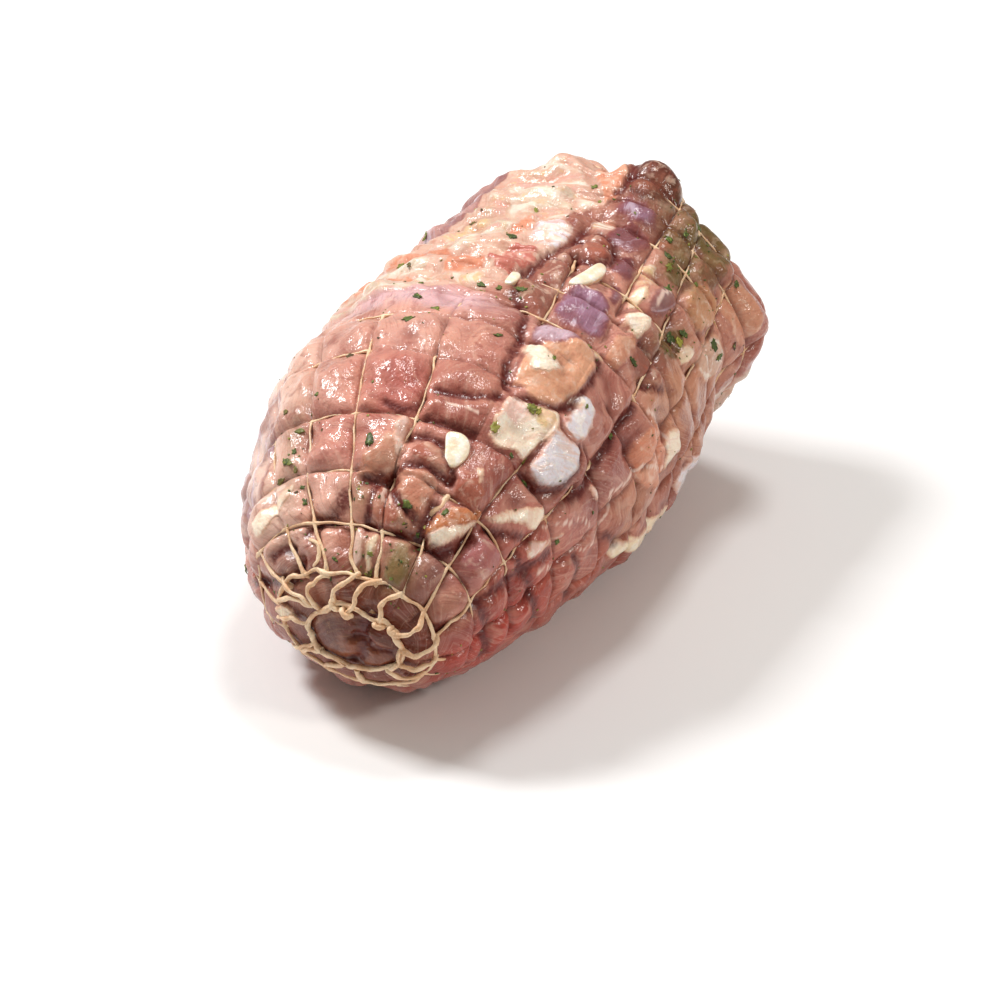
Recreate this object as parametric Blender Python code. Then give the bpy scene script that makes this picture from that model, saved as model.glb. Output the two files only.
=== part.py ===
"""A raw rolled pork roast in a stretched net, lying on its side along Y.

Metres, +Z up. The gathered end that faces the viewer is at -Y. The roast is a loft of rounded
sections whose surface swells between the strands of the net, and the net lies in the furrows
that it presses into the meat. A place on the roast is given as a station, which runs from 0 at
the near tip to 1 at the far tip along the surface, and an angle in degrees, 0 at the top and
positive towards +X.
"""

import math

import bmesh
import bpy
import numpy as np
from mathutils import Vector
from mathutils.bvhtree import BVHTree

# The body, measured at the level of the net
LENGTH = 0.2325
SECTION_AT = (0.0, 0.25, 0.5, 0.75, 1.0)
HALF_WIDTH = (0.0630, 0.0610, 0.0666, 0.0650, 0.0785)
HALF_HEIGHT = (0.0415, 0.0520, 0.0558, 0.0562, 0.0680)
SIDEWAYS = (0.0113, -0.0035, -0.0052, -0.0056, -0.0032)
NEAR_BLUNTNESS = 2.8
FAR_BLUNTNESS = 4.1
SECTION_POWER = 2.25
AXIS_HEIGHT = 0.965
MEAN_GIRTH_RADIUS = 0.060

# The net's strands: their thickness, their number, and the angles of those that show from above,
# at the marked stations
STRAND = 0.0011
GATHERED_STRAND = 1.3
STRAND_COUNT = 16
STRAND_MARKS = (0.12, 0.20, 0.29, 0.45, 0.70, 0.86)
SEEN_STRANDS = (
    (-45, -46, -50, -62, -78, -88),
    (-26, -28, -31, -44, -60, -69),
    (-6, -7, -13, -24, -38, -45),
    (10, 10, 10, -2, -10, -16),
    (29, 31, 31, 24, 12, 7),
    (47, 49, 49, 42, 32, 29),
    (70, 72, 70, 63, 47, 38),
    (98, 98, 92, 82, 66, 57),
    (120, 120, 114, 105, 90, 82),
)
MARK_BLEND = 0.015

# Near the gathered end the strands turn round it together: degrees, and where the turn fades out
COLLAR_TWIST = 6.0
MOST_TWIST = 1.2
TWIST_ENDS = 0.2
TWIST_RUN = 0.1

# The net's rings: their stations on the top, and how far they lean towards the far end at the side
RINGS = (
    (0.055, 0.100, 0.155, 0.212, 0.280, 0.370, 0.445, 0.500, 0.566)
    + (0.622, 0.679, 0.733, 0.775, 0.818, 0.860, 0.905, 0.950)
)
RING_LEAN = 0.036
LEAN_AT = (0.0, 0.1, 0.3, 0.6, 1.0)
LEAN_SHARE = (0.0, 0.22, 1.0, 0.42, 0.0)
STRAND_REST_HEIGHT = 0.0013
FURROW_CLEARANCE = 0.0010

# Rows of the loft: a third row where rings are this far apart, and the rows inside the end rings
LONG_CELL = 0.062
CAP_ROWS = (0.62, 0.28)

# The swelling between the strands
SWELL = 0.0024
SWELL_SEED = 5
SWELL_SPREAD = 0.25
SWELL_FULLNESS = 0.6
SWELL_STARTS, SWELL_FULL = 0.35, 0.75
UNDER_GATHERED_NET = -0.0018

# Where the swelling is weaker or stronger: station, angle, change, reach along and round in degrees
SWELL_REGIONS = {
    "far fat": (0.64, -28, -0.55, 0.15, 26),
    "rosy lobes": (0.36, -8, 0.30, 0.08, 26),
    "lower right": (0.24, 92, 0.35, 0.10, 28),
}

# Lobes and hollows: station, angle, height, reach along the body, reach round it in degrees
LOBES = {
    "far dark lobe": (0.87, 15, 0.0085, 0.050, 10),
    "far cleft": (0.86, 0, -0.0060, 0.045, 4),
    "far fat mass": (0.85, -16, 0.0035, 0.045, 9),
    "far shoulder": (0.86, 47, -0.0015, 0.050, 15),
    "side lobe": (0.820, 88, 0.0085, 0.042, 14),
    "side hollow": (0.755, 124, -0.0115, 0.045, 24),
    "near left lobe": (0.14, -62, 0.0025, 0.040, 12),
    "left notch": (0.46, -58, -0.0030, 0.020, 20),
    "big near lobes": (0.34, -6, 0.0020, 0.090, 24),
    "lower near side": (0.20, 122, -0.0020, 0.090, 20),
}

# Folds where two muscles meet: the points of each line, its depth and its width
FOLDS = {
    "edge of the big lobe": (((0.34, 26), (0.40, 25), (0.48, 18), (0.54, 7)), 0.0030, 0.0035),
    "far strip": (((0.54, 7), (0.62, 7), (0.72, 9), (0.80, 6)), 0.0022, 0.0030),
    "lower seam": (((0.34, 69), (0.42, 67), (0.49, 61), (0.62, 61)), 0.0022, 0.0030),
    "near face crease": (((0.065, 205), (0.02, 250), (0.0, 250)), 0.0035, 0.0030),
    "near face side": (((0.0, 50), (0.045, 50)), 0.0030, 0.0028),
}

# Garlic slivers: station, angle, length, width, thickness, turn from the body's length in degrees.
# The probes are shares of the outline at which a sliver's underside is set clear of the meat.
GARLIC = {
    "garlic_sliver_1": (0.271, 27.5, 0.0140, 0.0085, 0.0018, 27),
    "garlic_sliver_2": (0.613, 22.5, 0.0200, 0.0058, 0.0018, -10),
    "garlic_sliver_3": (0.549, 5, 0.0090, 0.0042, 0.0015, 5),
}
GARLIC_GAP = 0.00035
GARLIC_SIDES = 12
GARLIC_BEND = 0.16
GARLIC_LEVELS = ((0.90, 0.0), (1.0, 0.35), (0.80, 0.80))
GARLIC_PROBES = (0, 0.35, 0.7, 1.0)

# Herb flecks: the largest ones by counts of rings and strands, the rest drawn with a seed
HERB_PLACES = ((3.45, 2.4), (3.25, 0.55), (2.5, 3.5), (4.75, 4.6), (9.45, 6.35), (10.4, 7.35))
HERB_SCATTERED = 14
HERB_SIZE = (0.0024, 0.0016, 0.0009)
HERB_NEAREST = 0.016
HERB_LOWEST = 0.03
HERB_IN_CELL = (0.35, 0.65)
HERB_SEED = 11

# A height above any point of the surface, from which things are set down on it
DROP = 0.03

COLLECTION = "rolled_pork_roast"


def clear_scene():
    for thing in list(bpy.data.objects):
        bpy.data.objects.remove(thing, do_unlink=True)


def through_sections(values):
    """The smooth curve through the values at the five sections."""
    return np.polyfit(SECTION_AT, values, len(SECTION_AT) - 1)


WIDTH_CURVE = through_sections(HALF_WIDTH)
HEIGHT_CURVE = through_sections(HALF_HEIGHT)
SIDEWAYS_CURVE = through_sections(SIDEWAYS)


def end_rounding(along):
    """How much of its full girth the body has at a share of its length: 0 at both tips."""
    bluntness = np.where(along < 0.5, NEAR_BLUNTNESS, FAR_BLUNTNESS)
    return (1 - np.clip(np.abs(1 - 2 * along), 0, 1) ** bluntness) ** (1 / bluntness)


def station_table():
    """Station against share of the length, measured along the mean outline."""
    along = 0.5 - 0.5 * np.cos(np.linspace(0, math.pi, 2001))
    radius = MEAN_GIRTH_RADIUS * end_rounding(along)
    steps = np.hypot(np.diff(radius), np.diff(along * LENGTH))
    run = np.concatenate([[0.0], np.cumsum(steps)])
    return run / run[-1], along


STATION_RUN, STATION_ALONG = station_table()


def level_point(station, angle):
    """Where a strand's centre lies: the body's own surface, lifted off the floor underneath."""
    station, turn = np.broadcast_arrays(np.asarray(station, float), np.radians(angle))
    along = np.interp(station, STATION_RUN, STATION_ALONG)
    girth = end_rounding(along)
    across, up = np.sin(turn), np.cos(turn)
    reach = (np.abs(across) ** SECTION_POWER + np.abs(up) ** SECTION_POWER) ** (-1 / SECTION_POWER)
    half_height = np.polyval(HEIGHT_CURVE, along)
    x = np.polyval(SIDEWAYS_CURVE, along) + np.polyval(WIDTH_CURVE, along) * girth * across * reach
    z = half_height * (AXIS_HEIGHT + girth * up * reach)
    return np.stack([x, (along - 0.5) * LENGTH, np.maximum(z, STRAND_REST_HEIGHT)], axis=-1)


def outward(station, angle):
    """The unit normal of the body's surface."""
    station, angle = np.broadcast_arrays(np.asarray(station, float), np.asarray(angle, float))
    step = 0.002
    ahead = level_point(np.minimum(station + step, 1), angle)
    behind = level_point(np.maximum(station - step, 0), angle)
    round_step = level_point(station, angle + 1) - level_point(station, angle - 1)
    normal = np.cross(round_step, ahead - behind)
    length = np.linalg.norm(normal, axis=-1, keepdims=True)
    tip = np.zeros_like(normal)
    tip[..., 1] = np.where(station < 0.5, -1.0, 1.0)
    return np.where(length > 1e-12, normal / np.maximum(length, 1e-12), tip)


def all_angles(seen):
    """The angles of every lengthwise strand: those seen, then the hidden ones evenly spread."""
    hidden = STRAND_COUNT - len(seen)
    rest = np.linspace(seen[-1], seen[0] + 360, hidden + 2)[1:]
    return np.concatenate([seen, rest])


def strand_angle(number, station):
    """The angle of lengthwise strand number, which may lie between two strands."""
    turns = np.floor(number / STRAND_COUNT)
    within = number - turns * STRAND_COUNT
    numbers = np.arange(STRAND_COUNT + 1)
    angle = COLLAR_TWIST * np.clip((TWIST_ENDS - station) / TWIST_RUN, 0, MOST_TWIST)
    angle = angle + 360 * turns
    for mark in range(len(STRAND_MARKS)):
        only_here = [float(other == mark) for other in range(len(STRAND_MARKS))]
        moved = (station - MARK_BLEND, station, station + MARK_BLEND)
        share = sum(np.interp(place, STRAND_MARKS, only_here) for place in moved) / len(moved)
        at_mark = all_angles([strand[mark] for strand in SEEN_STRANDS])
        angle = angle + share * np.interp(within, numbers, at_mark)
    return angle


def net_place(ring, strand):
    """Station and angle of a place given in counts of rings and strands."""
    ring, strand = np.broadcast_arrays(np.asarray(ring, float), np.asarray(strand, float))
    last = len(RINGS) - 1
    station = np.interp(ring, np.arange(-1, last + 2), (0.0,) + RINGS + (1.0,))
    angle = strand_angle(strand, station)
    lean = np.interp(station, LEAN_AT, LEAN_SHARE)
    return station + RING_LEAN * lean * np.sin(np.radians(angle)), angle


def angle_between(first, second):
    return (first - second + 180) % 360 - 180


def patch(station, angle, centre, reach_along, reach_round):
    """1 at the centre of a soft round patch, falling off to 0 around it."""
    along = (station - centre[0]) / reach_along
    around = angle_between(angle, centre[1]) / reach_round
    return np.exp(-0.5 * (along**2 + around**2))


def lobe_height(station, angle):
    height = np.zeros(np.broadcast(station, angle).shape)
    for at, turned, rise, reach_along, reach_round in LOBES.values():
        height += rise * patch(station, angle, (at, turned), reach_along, reach_round)
    return height


def distance_to_line(points, line):
    """Distance from points to a line over the surface, given by stations and angles."""
    stations, angles = np.array(line, float).T
    shares = np.linspace(0, len(line) - 1, 8 * len(line))
    numbers = np.arange(len(line))
    track = level_point(np.interp(shares, numbers, stations), np.interp(shares, numbers, angles))
    nearest = np.full(points.shape[:-1], np.inf)
    for start, end in zip(track, track[1:]):
        run = end - start
        share = np.clip((points - start) @ run / max(run @ run, 1e-12), 0, 1)
        gap = points - start - share[..., None] * run
        nearest = np.minimum(nearest, np.linalg.norm(gap, axis=-1))
    return nearest


def fold_height(station, angle):
    points = level_point(station, angle)
    height = np.zeros(points.shape[:-1])
    for line, depth, width in FOLDS.values():
        height -= depth * np.exp(-((distance_to_line(points, line) / width) ** 2))
    return height


def openness(station):
    """0 where the net is gathered and lies on the meat, 1 where the meat swells through it."""
    girth = end_rounding(np.interp(station, STATION_RUN, STATION_ALONG))
    return np.clip((girth - SWELL_STARTS) / (SWELL_FULL - SWELL_STARTS), 0, 1)


def cell_swell(ring, strand):
    """How far the meat swells out of the net at a place counted in rings and strands."""
    rows, columns = len(RINGS) + 1, STRAND_COUNT
    draw = np.random.default_rng(SWELL_SEED)
    spread = draw.uniform(1 - SWELL_SPREAD, 1 + SWELL_SPREAD, (rows, columns))
    row = np.clip(np.floor(ring).astype(int) + 1, 0, rows - 1)
    column = np.floor(strand).astype(int) % columns
    crown = np.sin(np.pi * (ring % 1)) * np.sin(np.pi * (strand % 1))
    full = SWELL * spread[row, column] * np.clip(crown, 0, 1) ** SWELL_FULLNESS
    station, angle = net_place(ring, strand)
    for at, turned, share, reach_along, reach_round in SWELL_REGIONS.values():
        full = full * (1 + share * patch(station, angle, (at, turned), reach_along, reach_round))
    open_net = openness(station)
    return UNDER_GATHERED_NET * (1 - open_net) + full * open_net


def strand_thickness(station):
    """The strands are relaxed and thicker where the net is gathered."""
    return STRAND * (GATHERED_STRAND + (1 - GATHERED_STRAND) * openness(station))


def furrow_point(ring, strand):
    """The bottom of a furrow, under a strand. Lobes and folds carry the net with them."""
    station, angle = net_place(ring, strand)
    rise = lobe_height(station, angle) - strand_thickness(station) / 2 - FURROW_CLEARANCE
    return level_point(station, angle) + outward(station, angle) * rise[..., None]


def swollen_point(ring, strand):
    """The surface of the meat inside a cell of the net."""
    station, angle = net_place(ring, strand)
    rise = lobe_height(station, angle) + fold_height(station, angle) + cell_swell(ring, strand)
    point = level_point(station, angle) + outward(station, angle) * rise[..., None]
    point[..., 2] = np.maximum(point[..., 2], 0.0)
    return point


def row_counts():
    """Ring counts of the meat's rows of points: two rows to a cell, or three to a long one."""
    counts = []
    for number in range(len(RINGS) - 1):
        parts = 3 if RINGS[number + 1] - RINGS[number] > LONG_CELL else 2
        counts += [number + part / parts for part in range(parts)]
    return counts + [float(len(RINGS) - 1)]


def meat_rows():
    """Rows of points from ring to ring, four points to a cell, with straight furrows."""
    columns = np.arange(STRAND_COUNT * 4) / 4
    rows = []
    for count in row_counts():
        lower = math.floor(count)
        upper = min(lower + 1, len(RINGS) - 1)
        on_ring = count == lower
        row = swollen_point(np.full(columns.shape, count), columns)
        ends = [furrow_point(np.full(columns.shape, float(n)), columns) for n in (lower, upper)]
        for column in range(len(columns)):
            if on_ring and column % 2 == 1:
                after = (column + 1) % len(columns)
                row[column] = (ends[0][column - 1] + ends[0][after]) / 2
            elif on_ring:
                row[column] = ends[0][column]
            elif column % 4 == 0:
                span = ends[1][column] - ends[0][column]
                row[column] = ends[0][column] + span * (count - lower)
        rows.append(row)
    return rows


def cap_rows(at_far_end):
    """The two rows and the tip that close an end inside its last ring."""
    columns = np.arange(STRAND_COUNT * 4) / 4
    last = len(RINGS) - 1
    rows = []
    for share in CAP_ROWS:
        count = last + 1 - share if at_far_end else -1 + share
        station, angle = net_place(np.full(columns.shape, count), columns)
        rise = lobe_height(station, angle) + fold_height(station, angle)
        rows.append(level_point(station, angle) + outward(station, angle) * rise[:, None])
    tip = level_point(1.0 if at_far_end else 0.0, 0.0)
    return rows, tip


def loft(rows, first_tip, last_tip):
    """Vertices and faces of a closed body through rings of points and two tips."""
    count = len(rows[0])
    vertices = [tuple(first_tip)] + [tuple(point) for row in rows for point in row]
    vertices.append(tuple(last_tip))
    faces = []
    for k in range(count):
        after = (k + 1) % count
        faces.append((0, 1 + k, 1 + after))
        base = 1 + (len(rows) - 1) * count
        faces.append((len(vertices) - 1, base + after, base + k))
        for row in range(len(rows) - 1):
            here, there = 1 + row * count, 1 + (row + 1) * count
            faces.append((here + k, there + k, there + after, here + after))
    return vertices, faces


def new_object(name, vertices, faces, material, smooth=True):
    mesh = bpy.data.meshes.new(name)
    mesh.from_pydata(vertices, [], faces)
    shape = bmesh.new()
    shape.from_mesh(mesh)
    bmesh.ops.recalc_face_normals(shape, faces=shape.faces)
    shape.to_mesh(mesh)
    shape.free()
    thing = bpy.data.objects.new(name, mesh)
    thing.data.materials.append(material)
    bpy.data.collections[COLLECTION].objects.link(thing)
    if smooth:
        mesh.shade_smooth()
    return thing


def new_material(name, colour, roughness):
    material = bpy.data.materials.new(name)
    material.use_nodes = True
    shader = material.node_tree.nodes["Principled BSDF"]
    shader.inputs["Base Color"].default_value = (*colour, 1)
    shader.inputs["Roughness"].default_value = roughness
    material.diffuse_color = (*colour, 1)
    return material


def make_meat():
    near_rows, near_tip = cap_rows(at_far_end=False)
    far_rows, far_tip = cap_rows(at_far_end=True)
    rows = near_rows[::-1] + meat_rows() + far_rows
    vertices, faces = loft(rows, near_tip, far_tip)
    material = new_material("raw_meat", (0.55, 0.20, 0.16), 0.35)
    return new_object("meat", vertices, faces, material)


def surface_tree(thing):
    return BVHTree.FromPolygons(
        [vertex.co.copy() for vertex in thing.data.vertices],
        [tuple(face.vertices) for face in thing.data.polygons],
    )


def land_on(tree, station, angle):
    """The point of the meat under a place on the body, and the body's normal there."""
    normal = Vector(outward(station, angle).tolist())
    start = Vector(level_point(station, angle).tolist()) + normal * DROP
    point = tree.ray_cast(start, -normal)[0]
    return point, normal


def herb_places():
    """The large flecks, then scattered ones that keep clear of each other and of the strands."""
    draw = np.random.default_rng(HERB_SEED)
    places = [tuple(float(value) for value in net_place(*counts)) for counts in HERB_PLACES]
    while len(places) < len(HERB_PLACES) + HERB_SCATTERED:
        ring = draw.integers(1, len(RINGS) - 2) + draw.uniform(*HERB_IN_CELL)
        strand = draw.integers(0, STRAND_COUNT) + draw.uniform(*HERB_IN_CELL)
        station, angle = (float(value) for value in net_place(ring, strand))
        here = level_point(station, angle)
        others = np.array([level_point(*place) for place in places])
        high = here[2] > HERB_LOWEST
        if high and np.linalg.norm(others - here, axis=1).min() > HERB_NEAREST:
            places.append((station, angle))
    return places


def add_flecks(meat):
    """Herb flecks as small flat grains, joined to the meat."""
    tree = surface_tree(meat)
    flecks = bpy.data.collections.new("flecks")
    bpy.context.scene.collection.children.link(flecks)
    draw = np.random.default_rng(HERB_SEED + 1)
    for station, angle in herb_places():
        point, normal = land_on(tree, station, angle)
        mesh = bpy.data.meshes.new("fleck")
        shape = bmesh.new()
        bmesh.ops.create_icosphere(shape, subdivisions=1, radius=1)
        shape.to_mesh(mesh)
        shape.free()
        fleck = bpy.data.objects.new("fleck", mesh)
        fleck.rotation_mode = "QUATERNION"
        fleck.rotation_quaternion = normal.to_track_quat("Z", "Y")
        fleck.scale = Vector(HERB_SIZE) * draw.uniform(0.85, 1.15)
        fleck.location = point
        flecks.objects.link(fleck)
    join = meat.modifiers.new("flecks", "BOOLEAN")
    join.operation = "UNION"
    join.operand_type = "COLLECTION"
    join.collection = flecks
    join.solver = "MANIFOLD"
    apply_modifiers(meat)
    for fleck in list(flecks.objects):
        bpy.data.objects.remove(fleck, do_unlink=True)
    bpy.data.collections.remove(flecks)


def apply_modifiers(thing):
    bpy.context.view_layer.update()
    graph = bpy.context.evaluated_depsgraph_get()
    mesh = bpy.data.meshes.new_from_object(thing.evaluated_get(graph))
    thing.modifiers.clear()
    thing.data = mesh


def unit(vectors):
    return vectors / np.linalg.norm(vectors, axis=-1, keepdims=True)


class NetMesh:
    """A lattice of square strands: a block at each crossing, joined by straight runs.

    Along a ring the points are numbered by half strands, so the even ones are crossings and the
    odd ones lie halfway between two. A corner is named by its ring and point, its side along the
    body, its side along the ring (0 at a halfway point) and its level, -1 under and 1 outside.
    """

    AROUND = ((-1, -1), (-1, 1), (1, 1), (1, -1))

    def __init__(self):
        rings = np.arange(len(RINGS), dtype=float)
        strands = np.arange(STRAND_COUNT * 2) / 2
        station, angle = net_place(*np.meshgrid(rings, strands, indexing="ij"))
        self.normal = outward(station, angle)
        self.centre = level_point(station, angle)
        self.centre = self.centre + self.normal * lobe_height(station, angle)[..., None]
        self.along_ring = unit(np.roll(self.centre, -1, axis=1) - np.roll(self.centre, 1, axis=1))
        self.along_body = unit(np.cross(self.normal, self.along_ring))
        self.half = strand_thickness(station) / 2
        self.vertices, self.faces, self.numbers = [], [], {}

    def corner(self, ring, point, body_side, ring_side, level):
        name = (ring, point, body_side, ring_side, level)
        if name not in self.numbers:
            offset = self.along_body[ring, point] * body_side
            offset = offset + self.along_ring[ring, point] * ring_side
            offset = offset + self.normal[ring, point] * level
            self.numbers[name] = len(self.vertices)
            self.vertices.append(tuple(self.centre[ring, point] + offset * self.half[ring, point]))
        return self.numbers[name]

    def ring_end(self, ring, point, ring_side):
        return [self.corner(ring, point, side, ring_side, level) for side, level in self.AROUND]

    def body_end(self, ring, point, body_side):
        return [self.corner(ring, point, body_side, side, level) for side, level in self.AROUND]

    def bridge(self, first, second):
        for k in range(4):
            after = (k + 1) % 4
            self.faces.append((first[k], first[after], second[after], second[k]))

    def add_crossing(self, ring, point):
        for level in (-1, 1):
            self.faces.append([self.corner(ring, point, b, r, level) for b, r in self.AROUND])
        if ring == 0:
            self.faces.append(self.body_end(ring, point, -1))
        if ring == len(RINGS) - 1:
            self.faces.append(self.body_end(ring, point, 1))

    def build(self):
        points = STRAND_COUNT * 2
        for ring in range(len(RINGS)):
            for point in range(0, points, 2):
                middle, after = point + 1, (point + 2) % points
                self.add_crossing(ring, point)
                self.bridge(self.ring_end(ring, point, 1), self.ring_end(ring, middle, 0))
                self.bridge(self.ring_end(ring, middle, 0), self.ring_end(ring, after, -1))
                if ring + 1 < len(RINGS):
                    self.bridge(self.body_end(ring, point, 1), self.body_end(ring + 1, point, -1))
        return self.vertices, self.faces


def make_netting():
    vertices, faces = NetMesh().build()
    material = new_material("netting", (0.82, 0.70, 0.52), 0.7)
    return new_object("netting", vertices, faces, material, smooth=False)


def make_garlic(name, tree, material):
    """A sliver with a flat underside and a crowned top, lying just clear of the meat."""
    station, angle, length, width, thickness, turn = GARLIC[name]
    point, normal = land_on(tree, station, angle)
    lengthwise = (Vector((0, 1, 0)) - normal * normal.y).normalized()
    sideways = normal.cross(lengthwise)
    turned = math.radians(turn)
    long_axis = lengthwise * math.cos(turned) + sideways * math.sin(turned)
    short_axis = normal.cross(long_axis)
    outline = []
    for k in range(GARLIC_SIDES):
        a = 2 * math.pi * k / GARLIC_SIDES
        bend = GARLIC_BEND * width * math.cos(2 * a)
        outline.append((length / 2 * math.cos(a), width / 2 * math.sin(a) + bend))
    highest = 0.0
    for share in GARLIC_PROBES:
        for x, y in outline:
            start = point + long_axis * x * share + short_axis * y * share + normal * DROP
            found = tree.ray_cast(start, -normal)[0]
            highest = max(highest, (found - point).dot(normal))
    base = point + normal * (highest + GARLIC_GAP)
    rows = []
    for size, rise in GARLIC_LEVELS:
        level = base + normal * thickness * rise
        rows.append([level + (long_axis * x + short_axis * y) * size for x, y in outline])
    vertices, faces = loft(rows, base, base + normal * thickness)
    return new_object(name, vertices, faces, material)


def centre_on_floor(things):
    """Moves everything so that the box round it is centred on the origin and stands on the floor."""
    corners = np.array([vertex.co for thing in things for vertex in thing.data.vertices])
    low, high = corners.min(axis=0), corners.max(axis=0)
    shift = Vector((-(low[0] + high[0]) / 2, -(low[1] + high[1]) / 2, -low[2]))
    for thing in things:
        for vertex in thing.data.vertices:
            vertex.co += shift


def main():
    clear_scene()
    bpy.context.scene.collection.children.link(bpy.data.collections.new(COLLECTION))
    meat = make_meat()
    tree = surface_tree(meat)
    garlic = new_material("garlic", (0.85, 0.76, 0.58), 0.5)
    for name in GARLIC:
        make_garlic(name, tree, garlic)
    make_netting()
    add_flecks(meat)
    centre_on_floor(bpy.data.collections[COLLECTION].objects)


main()
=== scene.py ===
"""The look of the rolled pork roast: wet marbled meat, cotton net, garlic slivers and herbs."""
import math

import bpy
import numpy as np
from mathutils import Matrix, Vector
from mathutils.bvhtree import BVHTree


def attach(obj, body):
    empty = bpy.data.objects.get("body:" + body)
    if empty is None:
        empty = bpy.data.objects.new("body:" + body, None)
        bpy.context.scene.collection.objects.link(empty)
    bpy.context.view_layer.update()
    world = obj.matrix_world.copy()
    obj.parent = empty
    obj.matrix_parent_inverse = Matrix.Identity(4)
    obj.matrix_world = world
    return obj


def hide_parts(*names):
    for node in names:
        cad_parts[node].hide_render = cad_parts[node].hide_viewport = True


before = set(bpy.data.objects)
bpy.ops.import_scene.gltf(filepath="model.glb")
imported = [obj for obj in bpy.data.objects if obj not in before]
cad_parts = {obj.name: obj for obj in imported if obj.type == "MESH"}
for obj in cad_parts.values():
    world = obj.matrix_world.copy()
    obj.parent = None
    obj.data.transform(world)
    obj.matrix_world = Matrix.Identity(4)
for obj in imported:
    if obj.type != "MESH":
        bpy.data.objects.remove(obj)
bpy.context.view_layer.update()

# The body, the net and the lobes, with the same names and values as in the part's source

LENGTH = 0.2325
SECTION_AT = (0.0, 0.25, 0.5, 0.75, 1.0)
HALF_WIDTH = (0.0630, 0.0610, 0.0666, 0.0650, 0.0785)
HALF_HEIGHT = (0.0415, 0.0520, 0.0558, 0.0562, 0.0680)
SIDEWAYS = (0.0113, -0.0035, -0.0052, -0.0056, -0.0032)
NEAR_BLUNTNESS = 2.8
FAR_BLUNTNESS = 4.1
SECTION_POWER = 2.25
AXIS_HEIGHT = 0.965
MEAN_GIRTH_RADIUS = 0.060
CENTRING = (0.0050, -0.0026, 0.0)

STRAND = 0.0011
GATHERED_STRAND = 1.3
STRAND_COUNT = 16
STRAND_MARKS = (0.12, 0.20, 0.29, 0.45, 0.70, 0.86)
SEEN_STRANDS = (
    (-45, -46, -50, -62, -78, -88),
    (-26, -28, -31, -44, -60, -69),
    (-6, -7, -13, -24, -38, -45),
    (10, 10, 10, -2, -10, -16),
    (29, 31, 31, 24, 12, 7),
    (47, 49, 49, 42, 32, 29),
    (70, 72, 70, 63, 47, 38),
    (98, 98, 92, 82, 66, 57),
    (120, 120, 114, 105, 90, 82),
)
MARK_BLEND = 0.015
COLLAR_TWIST = 6.0
TWIST_ENDS = 0.2
RINGS = (
    (0.055, 0.100, 0.155, 0.212, 0.280, 0.370, 0.445, 0.500, 0.566)
    + (0.622, 0.679, 0.733, 0.775, 0.818, 0.860, 0.905, 0.950)
)
RING_LEAN = 0.036
LEAN_AT = (0.0, 0.1, 0.3, 0.6, 1.0)
LEAN_SHARE = (0.0, 0.22, 1.0, 0.42, 0.0)
STRAND_REST_HEIGHT = 0.0013

SWELL = 0.0024
SWELL_SEED = 5
SWELL_SPREAD = 0.25
SWELL_STARTS, SWELL_FULL = 0.35, 0.75
SWELL_REGIONS = {
    "far fat": (0.64, -28, -0.55, 0.15, 26),
    "rosy lobes": (0.36, -8, 0.30, 0.08, 26),
    "lower right": (0.24, 92, 0.35, 0.10, 28),
}
LOBES = {
    "far dark lobe": (0.87, 15, 0.0085, 0.050, 10),
    "far cleft": (0.86, 0, -0.0060, 0.045, 4),
    "far fat mass": (0.85, -16, 0.0035, 0.045, 9),
    "far shoulder": (0.86, 47, -0.0015, 0.050, 15),
    "side lobe": (0.820, 88, 0.0085, 0.042, 14),
    "side hollow": (0.755, 124, -0.0115, 0.045, 24),
    "near left lobe": (0.14, -62, 0.0025, 0.040, 12),
    "left notch": (0.46, -58, -0.0030, 0.020, 20),
    "big near lobes": (0.34, -6, 0.0020, 0.090, 24),
    "lower near side": (0.20, 122, -0.0020, 0.090, 20),
}

# Values of the scene alone: the way over the body from end to end, and how strands are counted

SURFACE_RUN = 0.309
RING_EDGES = (0.0, *RINGS, 1.0)
LEFT_STRANDS = 3
STATION_STEP, ANGLE_STEP = 0.002, 1
MM = 1000.0


def through_sections(values):
    return np.polyfit(SECTION_AT, values, len(SECTION_AT) - 1)


WIDTH_CURVE = through_sections(HALF_WIDTH)
HEIGHT_CURVE = through_sections(HALF_HEIGHT)
SIDEWAYS_CURVE = through_sections(SIDEWAYS)


def end_rounding(along):
    bluntness = np.where(along < 0.5, NEAR_BLUNTNESS, FAR_BLUNTNESS)
    return (1 - np.clip(np.abs(1 - 2 * along), 0, 1) ** bluntness) ** (1 / bluntness)


def station_table():
    along = 0.5 - 0.5 * np.cos(np.linspace(0, math.pi, 2001))
    radius = MEAN_GIRTH_RADIUS * end_rounding(along)
    steps = np.hypot(np.diff(radius), np.diff(along * LENGTH))
    run = np.concatenate([[0.0], np.cumsum(steps)])
    return run / run[-1], along


STATION_RUN, STATION_ALONG = station_table()


def level_point(station, angle):
    """The level of the net's strands at a station and an angle, before lobes."""
    station, turn = np.broadcast_arrays(np.asarray(station, float), np.radians(angle))
    along = np.interp(station, STATION_RUN, STATION_ALONG)
    girth = end_rounding(along)
    across, up = np.sin(turn), np.cos(turn)
    reach = (np.abs(across) ** SECTION_POWER + np.abs(up) ** SECTION_POWER) ** (-1 / SECTION_POWER)
    half_height = np.polyval(HEIGHT_CURVE, along)
    x = np.polyval(SIDEWAYS_CURVE, along) + np.polyval(WIDTH_CURVE, along) * girth * across * reach
    z = half_height * (AXIS_HEIGHT + girth * up * reach)
    y = (along - 0.5) * LENGTH
    return np.stack([x + CENTRING[0], y + CENTRING[1], np.maximum(z, STRAND_REST_HEIGHT)], axis=-1)


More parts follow.
